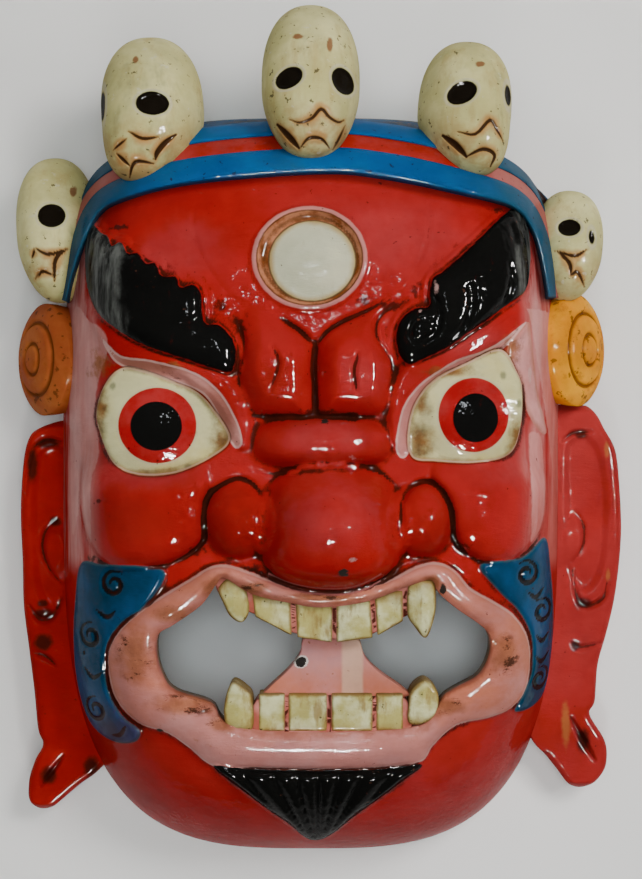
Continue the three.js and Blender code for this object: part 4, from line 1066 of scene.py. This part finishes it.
def skull_mesh(name, at, half, mid, deep, lean, turn, jaw, fine, eyes, lines):
    bm = bmesh.new()
    bmesh.ops.create_icosphere(bm, subdivisions=fine, radius=1.0)
    mesh = bpy.data.meshes.new(name)
    bm.to_mesh(mesh)
    bm.free()
    ball = read_points(mesh)
    vx, vy, vz = (ball / np.linalg.norm(ball, axis=1)[:, None]).T
    plan = np.hypot(vx, vy) / (np.abs(vx) ** SKULL_FULL + np.abs(vy) ** SKULL_FULL + 1e-9) ** (1 / SKULL_FULL)
    low_part = soft(-vy, 0.15, 0.95)
    sx = vx * plan * (1 + (SKULL_JAW - 1) * low_part) * half[0] + jaw * low_part
    sy = vy * plan * half[1]
    c, s = math.cos(turn), math.sin(turn)
    x, y = at[0] + sx * c - sy * s, at[1] + sx * s + sy * c
    facing = soft(vz, -0.1, 0.25)
    socket = np.maximum.reduce([leaf_in(x, y, *eye) for eye in eyes])
    cut = facing * carve_lines(x, y, lines)
    z = mid + vz * deep + lean * sx - SKULL_TILT * sy
    z = z - facing * SOCKET_DEPTH * soft(socket, -1.0, 2.0) - cut
    write_points(mesh, x, y, z)
    store(mesh, "socket", np.where(facing > 0.5, socket, -3))
    store(mesh, "cut", cut)
    store(mesh, "smear", facing * carve_lines(x, y, [(path, 5.0, 1.0) for path, _, _ in lines]))
    store(mesh, "scar", spots(x, y, SCARS))
    store(mesh, "low", (at[1] - y) / half[1])
    store_creases(mesh)
    return mesh


print("skulls to make:", len(SKULLS))

# %% [markdown]
# ## Bone
# The bone is a pale yellow with streaks, green-grey shadows and brown smears round the mouth. The
# sockets and the cut lines are painted nearly black.

# %% Skull paint
p = Paint("bone_paint")
bone = p.clouds((0.5, 0.46, 0.19), (0.66, 0.62, 0.3), 34)
bone = p.mix(p.ramp(p.noise(75, 4, 0.65, (1.6, 0.3, 1)), 0.5, 0.72, top=0.65), bone, (0.44, 0.34, 0.13))
bone = p.mix(p.ramp(p.noise(55, 4, 0.65, (1, 0.5, 1)), 0.55, 0.75, top=0.5), bone, GREEN_GREY)
smear = p.math("MULTIPLY", p.ramp(p.field("low"), -0.1, 0.9), p.ramp(p.noise(48, 4, 0.7), 0.42, 0.66))
bone = p.mix(p.math("MULTIPLY", smear, 0.75), bone, (0.36, 0.19, 0.06))
bone = p.mix(p.ramp(p.wobble("smear", 0.7, 90), 0.3, 1.0, top=0.8), bone, (0.42, 0.2, 0.06))
bone = p.specks(bone, (0.05, 0.035, 0.02), 300, 0.64, 0.8)
bone = p.specks(bone, (0.6, 0.58, 0.42), 190, 0.66, 0.5)
bone = p.age(bone, (0.12, 0.06, 0.02), 0.8)
bone = p.mix(p.ramp(p.field("cut"), 0.05, 0.4, top=0.7), bone, (0.2, 0.085, 0.025))
bone = p.mix(p.ramp(p.field("cut"), 0.35, 0.8, top=0.95), bone, (0.03, 0.013, 0.006))
bone = p.layer(bone, "scar", (0.18, 0.05, 0.02), 0.2, 0.4, 0.3, 0.85)
bone = p.line(bone, "socket", -0.7, 0.8, (0.5, 0.46, 0.32), 0.6)
bone = p.layer(bone, "socket", (0.008, 0.006, 0.004), 0.25, 0.25)
bone_paint = p.finish(bone, rough=(0.35, 0.55), coat=0.12)
for name, form in SKULLS.items():
    finish_piece(name, skull_mesh(name, **form), bone_paint)

# %% [markdown]
# ## Ears
# Each ear is a long slab beside the head, given as rows of inner and outer edge. The section of
# every row is a closed loop with a rounded outer edge. The bowl, the folds and the slit of the lobe
# are carved into its front.

# %% Ear outlines
EAR_TOP, EAR_BASE, EAR_ROUND = 24.0, 2.0, 5.0
# corners of the section on its way round: inner foot, inner top, outer top, outer foot, inner foot
EAR_LOOP = [0, 0.1, 0.8, 0.92, 1]
# each row: height on the drawing, inner edge, outer edge
EAR_ROWS = {
    "ear_left": [
        (10, -122, -122), (9.2, -112, -128), (6, -112, -137), (1.5, -110, -142.5), (-10, -108, -145.5),
        (-34.5, -106, -147), (-61, -106, -146), (-81.5, -105, -145.5), (-101.5, -105, -143),
        (-121.5, -104, -140.5), (-141.5, -104, -138.5), (-149, -104, -136), (-156, -104, -139.5),
        (-163, -110, -142), (-168, -117, -143), (-175.5, -126, -143), (-180, -131.5, -140),
        (-182, -137, -137)],
    "ear_right": [
        (17.5, 122, 122), (16.8, 110, 130), (12, 102, 135), (5.5, 100, 138.5), (-5, 98, 144),
        (-21, 96, 146), (-43, 96, 147), (-60, 96, 146), (-78.5, 96, 143.5), (-95.5, 97, 139.5),
        (-110, 98, 135.5), (-128, 99, 134), (-134.5, 100, 131.5), (-146.5, 103, 138.5),
        (-154.5, 110, 140), (-162, 116, 138.5), (-168.5, 121, 133), (-171.5, 127, 127)],
}
EAR_BOWLS = [
    [(-128, -2), (-135, -2.5), (-140, -9), (-142.5, -28), (-142.5, -50), (-141, -68), (-137.5, -80),
     (-132, -85), (-125, -82), (-121, -60), (-121, -30), (-122, -8)],
    [(121, 1), (129, 3.5), (135.5, -2), (140, -14), (141.5, -30), (141, -50), (138.5, -64), (133, -74),
     (126, -75), (119, -60), (118, -30), (118, -5)],
]
EAR_LINES = [
    ([(-140.5, -4), (-135, -0.2), (-127, -0.8)], 1.6, 3.2),
    ([(-139.5, -1), (-143, -14), (-144.2, -28)], 1.3, 2.0),
    ([(-128.8, -38.7), (-134.8, -44.6), (-136.5, -53), (-133.1, -63), (-127, -71)], 1.4, 2.6),
    ([(-142.4, -81.5), (-137.5, -88), (-131.5, -86.5), (-127.5, -78.3)], 2.2, 3.6),
    ([(-140.7, -104.2), (-134.8, -105.9), (-129.8, -110)], 1.7, 3.0),
    ([(-125.6, -154.5), (-131, -161.5), (-136.5, -168.8)], 1.5, 4.0),
    ([(117.9, -0.7), (123.9, 3.3), (132, 3.8)], 1.7, 3.2),
    ([(123.9, -34.6), (128.8, -42.7), (127.9, -52.7), (122.9, -60.7)], 1.2, 1.8),
    ([(122.9, -63.7), (125, -76.6), (129.8, -81.7), (137.9, -77.6), (139.9, -69.5)], 2.0, 3.6),
    ([(122.5, -99), (126.4, -101.7), (136.2, -99.8)], 1.9, 3.2),
    ([(122, -135.7), (127.5, -146), (133.7, -156.4)], 2.0, 4.2),
]
EAR_BUMPS = [((-129.5, -54), (7.5, 15), 3.0), ((123.5, -48), (6, 13), 3.0)]
EAR_STAINS = [(-135.5, -99, 7, 6.5), (-135, -85, 8, 4), (-133.5, -2, 9, 3.5), (-130, -40, 5, 4),
              (-133, -164, 6, 7), (127, 2.5, 5, 3.5), (128, -80, 7, 4), (128, -147, 5, 9), (-136, -80, 4, 3),
              (-141, -12, 4, 14), (124, -101, 4, 4), (-112, -160, 6, 8), (106, -156, 5, 5)]
# a yellowish place on the right lobe, partly wear and partly painted highlight, and two painted highlights on
# the right ear's outer rim
EAR_WORN_AND_HIGHLIGHTS = [(119.5, -139, 3.2, 16), (139.5, -5, 2, 6), (140, -66, 1.5, 5)]
print("ear lines:", len(EAR_LINES))


# %% Ear shape
def ear_mesh(name, rows):
    ys, inner, outer = smooth_curve(sorted(rows), per=6).T
    middle = 0.5 * (EAR_TOP + EAR_BASE)

    def shape(u, v):
        y = ys[0] + (ys[-1] - ys[0]) * v
        xi, xo = np.interp(y, ys, inner), np.interp(y, ys, outer)
        x = xi + (xo - xi) * np.interp(u, EAR_LOOP, [0, 0, 1, 1, 0])
        edge = np.minimum(np.abs(x - xo), np.abs(x - xi) + np.where(y > -152, 9, 0))
        top = EAR_TOP - EAR_ROUND + EAR_ROUND * cushion(edge, EAR_ROUND)
        top = top - 2.6 * soft(deepest(x, y, EAR_BOWLS), 0, 4.5)
        for centre, half, rise in EAR_BUMPS:
            top = top + rise * soft(leaf_in(x, y, centre, half), 0, 4)
        top = top - carve_lines(x, y, EAR_LINES)
        up = np.interp(u, EAR_LOOP, [0, 1, 1, 0, 0])
        z = EAR_BASE + (top - EAR_BASE) * up
        ends = np.minimum(y - ys[0], ys[-1] - y)
        return x, y, middle + (z - middle) * np.clip(ends / 4, 0, 1) ** 0.5

    return wrapped(name, 76, 230, shape)


print("ears to make:", len(EAR_ROWS))

# %% Ear paint
p = Paint("ear_paint")
ear = p.clouds((0.31, 0.009, 0.006), (0.38, 0.014, 0.011), 14)
# the right ear is a lighter, pinker red: painted light and sheen from the right
ear_right_lit = p.clouds((0.32, 0.018, 0.016), (0.36, 0.036, 0.034), 14)
ear = p.mix(p.ramp(p.field("right"), -5, 5, top=0.8), ear, ear_right_lit)
ear = p.age(ear, p.clouds(DIRT, (0.08, 0.008, 0.004), 60), 0.85, wash=DEEP_RED)
ear = p.layer(ear, "stain", DIRT, 0.25, 0.25, 0.4, 0.85)
# worn places and painted highlights on the right ear, laid in a pale orange
ear = p.layer(ear, "pale_marks", (0.4, 0.15, 0.04), 0.3, 0.4, 0.4, 0.6)
ear_paint = p.finish(p.specks(ear, DIRT, 300, 0.7, 0.6))
for name, rows in EAR_ROWS.items():
    mesh = ear_mesh(name, rows)
    x, y, _ = drawing_points(mesh)
    store(mesh, "right", x)
    store(mesh, "stain", spots(x, y, EAR_STAINS))
    store(mesh, "pale_marks", spots(x, y, EAR_WORN_AND_HIGHLIGHTS))
    store_creases(mesh, 10)
    finish_piece(name, mesh, ear_paint)

# %% [markdown]
# ## Roundels
# The studs above the ears are turned forms, so a profile is spun round an axis and the stud is tipped
# outwards. Two rings are cut into the dome.

# %% Roundels
ROUNDEL_RADIUS, ROUNDEL_RISE, ROUNDEL_BACK, ROUNDEL_TIP = 27.0, 13.0, 13.0, 0.98
ROUNDEL_RINGS = (17.5, 7.5)
ROUNDELS = {"roundel_left": ((-129, 38.5, 33), -1), "roundel_right": ((119.5, 43, 33), 1)}


def roundel_mesh(name, at, side):
    r = np.concatenate([np.linspace(0, ROUNDEL_RADIUS, 60),
                        [ROUNDEL_RADIUS - 0.4, ROUNDEL_RADIUS - 2.5, 0]])
    h = ROUNDEL_RISE * np.sqrt(np.maximum(0, 1 - (r / (ROUNDEL_RADIUS * 1.08)) ** 2))
    outer, inner = ROUNDEL_RINGS
    h -= 2.0 * np.exp(-((r - outer) / 1.3) ** 2) + 1.8 * np.exp(-((r - inner) / 1.2) ** 2)
    h[-3:] = [0, -ROUNDEL_BACK, -ROUNDEL_BACK]
    bm = bmesh.new()
    ring = [bm.verts.new((a, 0, b)) for a, b in zip(r, h)]
    edges = [bm.edges.new(pair) for pair in zip(ring, ring[1:])]
    bmesh.ops.spin(bm, geom=ring + edges, axis=(0, 0, 1), cent=(0, 0, 0), angle=2 * math.pi, steps=96,
                   use_merge=True)
    bmesh.ops.remove_doubles(bm, verts=bm.verts[:], dist=1e-4)
    bmesh.ops.recalc_face_normals(bm, faces=bm.faces[:])
    mesh = bpy.data.meshes.new(name)
    bm.to_mesh(mesh)
    bm.free()
    a, b, h = read_points(mesh).T
    c, s = math.cos(ROUNDEL_TIP), math.sin(ROUNDEL_TIP) * side
    write_points(mesh, at[0] + a * c + h * s, at[1] + b, at[2] - a * s + h * c)
    store(mesh, "ring", np.hypot(a, b))
    store(mesh, "right", np.full(len(a), at[0]))
    store_creases(mesh, 8)
    return mesh


p = Paint("orange_paint")
# the right stud is painted a much lighter orange than the left: painted light, falling from the right
gold = p.mix(p.ramp(p.field("right"), -20, 20), p.clouds((0.34, 0.07, 0.02), (0.44, 0.13, 0.03), 36),
             p.clouds((0.64, 0.23, 0.008), (0.8, 0.35, 0.012), 36))
gold = p.mix(p.ramp(p.noise(90, 5, 0.7), 0.52, 0.72, top=0.6), gold, (0.3, 0.07, 0.01))
for radius, half in zip(ROUNDEL_RINGS, (1.4, 1.3)):
    gold = p.line(gold, "ring", radius, half, (0.14, 0.035, 0.006), 0.85)
gold = p.specks(gold, (0.09, 0.03, 0.008), 170, 0.6, 0.7)
orange_paint = p.finish(p.age(gold, (0.12, 0.03, 0.006), 0.75), coat=0.12)
for name, (at, side) in ROUNDELS.items():
    finish_piece(name, roundel_mesh(name, at, side), orange_paint)

# %% [markdown]
# ## Teeth, fangs, gums and tongue
# Each of these is a pad over an outline: walls, a rounded shoulder and a flat top, with a soft ridge
# on the fangs, rolled from a grid like the stripes. The gums stand almost as high as the teeth, so the
# gaps are lines.

# %% Pad helpers
def rounded(points, corner=0.07):
    """Polygon with its corners eased, for a smooth curve to run through."""
    p = np.array(points, float)
    q = np.roll(p, -1, axis=0)
    return np.stack([p + (q - p) * share for share in (corner, 0.5, 1 - corner)], 1).reshape(-1, 2)


# shares of the grid's rows at which the wall and the rounded shoulder of a pad end
WALL_END, SHOULDER_END = 0.2, 0.5


def pad_mesh(name, points, z_low, z_high, shoulder, ridge=0.0):
    outline = smooth_curve(points, True, 5)
    centre = 0.5 * (outline.max(0) + outline.min(0))
    half = 0.5 * (outline.max(0) - outline.min(0))
    inside = centre + (outline - centre) * (1 - shoulder / half)
    closed = [np.vstack([ring, ring[:1]]) for ring in (outline, inside)]
    turns = np.linspace(0, 1, len(closed[0]))

    def shape(u, v):
        (ox, oy), (ix, iy) = ([np.interp(u, turns, column) for column in ring.T] for ring in closed)
        angle = np.interp(v, [WALL_END, SHOULDER_END], [0, math.pi / 2])
        share = 1 - np.cos(angle)
        x, y = ox + (ix - ox) * share, oy + (iy - oy) * share
        left = 1 - np.clip((v - SHOULDER_END) / (1 - SHOULDER_END), 0, 1)
        x, y = centre[0] + (x - centre[0]) * left, centre[1] + (y - centre[1]) * left
        z = np.interp(v, [0, WALL_END], [z_low, z_high - shoulder]) + shoulder * np.sin(angle)
        return x, y, z + ridge * np.maximum(0, 1 - np.abs(x - centre[0]) / 5) * np.sin(angle)

    return wrapped(name, len(outline), 30, shape)


def mouth_piece(name, mesh, material, **marks):
    for mark, values in marks.items():
        store(mesh, mark, values)
    store_creases(mesh, 6)
    finish_piece(name, mesh, material)


def tooth_piece(name, outline, z_low, z_high, shoulder, root_y, hang, ridge=0.0):
    """A tooth that knows how far each point is from its root and from its edge."""
    mesh = pad_mesh(name, outline, z_low, z_high, shoulder, ridge)
    x, y, _ = drawing_points(mesh)
    edge = to_segments(x, y, smooth_curve(outline, True, 5), True, 9.0)[0]
    mouth_piece(name, mesh, tooth_paint, root=(y - root_y) * hang, edge=edge)


print("pad helpers ready")

# %% [markdown]
# ## Paint in the mouth
# The teeth are old ivory with brown roots and edges. The gums are pink with dark gaps, and the tongue
# has a pale stripe and one chip.

# %% Mouth paints
p = Paint("tooth_paint")
tooth = p.clouds((0.42, 0.37, 0.12), (0.62, 0.62, 0.34), 60, start=0.4, end=0.62)
tooth = p.mix(p.ramp(p.noise(110, 4, 0.65, (1.5, 0.5, 1)), 0.5, 0.68, top=0.75), tooth, (0.26, 0.16, 0.05))
tooth = p.mix(p.ramp(p.wobble("root", 3.0, 150), 2.0, -5.0, top=0.85), tooth, (0.2, 0.11, 0.03))
tooth = p.mix(p.ramp(p.wobble("edge", 1.8, 150), 1.6, 0.1, top=0.85), tooth, (0.24, 0.14, 0.035))
tooth = p.specks(tooth, (0.05, 0.03, 0.015), 330, 0.66, 0.8)
tooth_paint = p.finish(p.age(tooth, (0.12, 0.055, 0.018), 0.85), rough=(0.3, 0.45), coat=0.18)
p = Paint("gum_paint")
gum = p.clouds((0.36, 0.09, 0.06), PINK, 60)
gum = p.mix(p.ramp(p.wobble("gap", 0.3, 180), 1.2, 0.6, top=0.95), gum, (0.05, 0.008, 0.004))
gum_paint = p.finish(p.age(gum, (0.07, 0.014, 0.006), 0.9))
p = Paint("tongue_paint")
tongue_tip = p.clouds(PINK, (0.42, 0.2, 0.2), 50)
tongue = p.mix(p.ramp(p.field("down"), -6, 10), tongue_tip, p.clouds(SALMON, PINK, 50))
tongue = p.layer(tongue, "pale", (0.58, 0.37, 0.26), 0.9, 0.5, 0.0, 0.8)
tongue = p.specks(tongue, (0.2, 0.07, 0.03), 260, 0.66, 0.6)
tongue = p.layer(tongue, "chip", (0.55, 0.5, 0.46), 0.2, 2.4, 0.2)
tongue = p.layer(tongue, "chip", (0.02, 0.018, 0.016), 0.2, 2.4, 1.0)
tongue_paint = p.finish(tongue)
print("mouth paints ready")

# %% Teeth and fangs
# each: left and right edge at the gum, left and right edge at the tip, tip height at both
UPPER_TEETH = [(-31, -14, -29.5, -13.2, -79.5, -88), (-11.6, 5, -10.6, 5, -88.8, -91),
               (7, 21.7, 7, 23.2, -91, -89), (24, 36.6, 25.4, 36.8, -88, -81.5)]
LOWER_TEETH = [(-28, -16.4), (-14.6, 2.6), (4.8, 23.2), (25, 37)]
for i, (a, b, c, d, left_y, right_y) in enumerate(UPPER_TEETH):
    outline = rounded([(a, -68), (c, left_y), (d, right_y), (b, -68)])
    tooth_piece("tooth_upper_%d" % i, outline, 84, 103, 1.4, -74, -1)
for i, (a, b) in enumerate(LOWER_TEETH):
    outline = rounded([(a, -131.5), (b, -131.5), (b, -115), (a, -115)])
    tooth_piece("tooth_lower_%d" % i, outline, 80, 99, 1.8, -129, 1)
# each: outline, front height, root, hang, ridge
FANGS = {
    "fang_upper_left": ([(-46, -67), (-41, -62), (-35, -64), (-32.8, -71), (-32.4, -77.5), (-35.5, -82),
                         (-40.5, -79.5), (-44, -73)], 105, -68, -1, 0.8),
    "fang_upper_right": ([(39.5, -65), (45, -62.5), (50.5, -64), (51.5, -71), (50.8, -80), (47, -89),
                          (42, -84), (38.8, -78)], 105, -68, -1, 1.6),
    "fang_lower_left": ([(-43.8, -123), (-42.4, -114), (-39.5, -109.3), (-34, -112.5), (-31, -117),
                         (-30.8, -130), (-37, -131), (-42, -130)], 101, -127, 1, 0.8),
    "fang_lower_right": ([(47, -108.3), (41, -112.5), (39.5, -119), (39.5, -127.5), (46, -128),
                          (51.8, -123.5), (52.7, -114)], 101, -124, 1, 0.8),
}
for name, (outline, front_z, root_y, hang, ridge) in FANGS.items():
    tooth_piece(name, outline, 80, front_z, 2.4, root_y, hang, ridge)

# %% Gums and tongue
# each: outline, back height, front height
GUMS = {
    "gum_upper": ([(-47, -61), (-44, -72), (-30, -78.5), (-14, -86.5), (4, -89.6), (20, -88.6), (36, -80.5),
                   (48, -74), (52, -61), (30, -62), (0, -66), (-30, -62)], 84, 101.6),
    "gum_lower": ([(-28.5, -134), (-29, -117.5), (-10, -116.5), (4, -116), (20, -116.5), (38.5, -117.5),
                   (38, -134), (4, -135)], 78, 97.6),
}
GAPS = [[(-12.6, -70), (-12, -90)], [(6, -70), (6, -93)], [(22.8, -70), (24.4, -90)],
        [(37.8, -68), (38, -84)], [(-15.5, -114), (-15.5, -132)], [(3.7, -114), (3.7, -132)],
        [(24.1, -114), (24.1, -132)]]
for name, (outline, back_z, front_z) in GUMS.items():
    mesh = pad_mesh(name, outline, back_z, front_z, 1.5)
    x, y, _ = drawing_points(mesh)
    gap = np.minimum.reduce([to_segments(x, y, np.array(path, float), False, 9.0)[0] for path in GAPS])
    mouth_piece(name, mesh, gum_paint, gap=gap)
TONGUE = [(-7.6, -90), (-9.5, -97), (-15, -104.5), (-25, -114), (-26, -117.5), (4, -119), (38, -117),
          (37.5, -113.5), (27, -106), (20, -99), (16.4, -90), (4, -87)]
mesh = pad_mesh("tongue", TONGUE, 78, 92, 1.5)
x, y, _ = drawing_points(mesh)
mouth_piece("tongue", mesh, tongue_paint, pale=np.minimum(x - 9.5, 19 - x), down=-104 - y,
            chip=leaf_in(x, y, (-9, -101), (3.8, 3.0), 0.5))

# %% [markdown]
# ## Floor, light and camera
# The mask lies on a plain pale floor and is seen from straight above. Most light falls from over the
# camera, so some of it reaches the floor through the mouth, and a window to the upper right models the
# forms. These three light the paint alone. Three small lamps are seen in the gloss alone, because
# small lamps give the short, sharp highlights of thick paint and leave the black dark.

# %% Floor and room
p = Paint("floor_paint")
p.link(p.clouds((0.72, 0.71, 0.69), (0.77, 0.765, 0.75), 3, start=0.3), p.shader.inputs["Base Color"])
p.shader.inputs["Roughness"].default_value = 0.8
bm = bmesh.new()
bmesh.ops.create_grid(bm, x_segments=1, y_segments=1, size=2.5)
floor_mesh = bpy.data.meshes.new("floor")
bm.to_mesh(floor_mesh)
bm.free()
floor_mesh.materials.append(p.material)
floor = bpy.data.objects.new("floor", floor_mesh)
bpy.context.scene.collection.objects.link(floor)

world = bpy.data.worlds.new("room")
bpy.context.scene.world = world
world.use_nodes = True
background = world.node_tree.nodes["Background"]
background.inputs["Color"].default_value = (1.0, 0.98, 0.95, 1)
background.inputs["Strength"].default_value = 0.09
print("floor", floor.name, "world", world.name)


# %% Lights
def soft_light(name, at, size, power, colour, shiny=True, matt=True):
    """A square light that looks at the middle of the mask, for the gloss, the paint or both."""
    data = bpy.data.lights.new(name, "AREA")
    data.size, data.energy, data.color = size, power, colour
    ob = bpy.data.objects.new(name, data)
    ob.location = at
    ob.rotation_euler = (math.atan2(math.hypot(at[0], at[1]), at[2] - 0.05), 0,
                         math.atan2(-at[1], -at[0]) - math.pi / 2)
    ob.visible_glossy = shiny
    ob.visible_diffuse = matt
    bpy.context.scene.collection.objects.link(ob)


soft_light("ceiling", (0.03, 0.03, 1.9), 0.5, 14, (0.86, 0.96, 1.0), shiny=False)
soft_light("fill", (-0.1, 0.1, 1.6), 2.0, 9, (1, 0.94, 0.87), shiny=False)
soft_light("window", (0.62, 0.5, 1.25), 0.45, 14, (1, 0.96, 0.94), shiny=False)
soft_light("low_lamp", (0.0, -0.7, 0.9), 0.15, 90, (1, 0.98, 0.95), matt=False)
soft_light("side_lamp", (0.75, 0.1, 0.8), 0.15, 65, (1, 0.98, 0.96), matt=False)
soft_light("top_lamp", (0.02, 0.22, 1.5), 0.12, 5, (0.9, 0.96, 1.0), matt=False)
print("lights", len(bpy.data.lights))

# %% Camera
CAMERA_HEIGHT, SENSOR, PIXELS_PER_METRE, PICTURE_PIXELS = 1.0, 36.0, 2000.0, 879
lens = bpy.data.cameras.new("camera")
lens.sensor_width = SENSOR
lens.lens = SENSOR * PIXELS_PER_METRE * CAMERA_HEIGHT / PICTURE_PIXELS
camera = bpy.data.objects.new("camera", lens)
camera.location = (shift_x * MM, shift_y * MM, CAMERA_HEIGHT)
bpy.context.scene.collection.objects.link(camera)
bpy.context.scene.camera = camera
print("camera lens", round(lens.lens, 2), "mm")
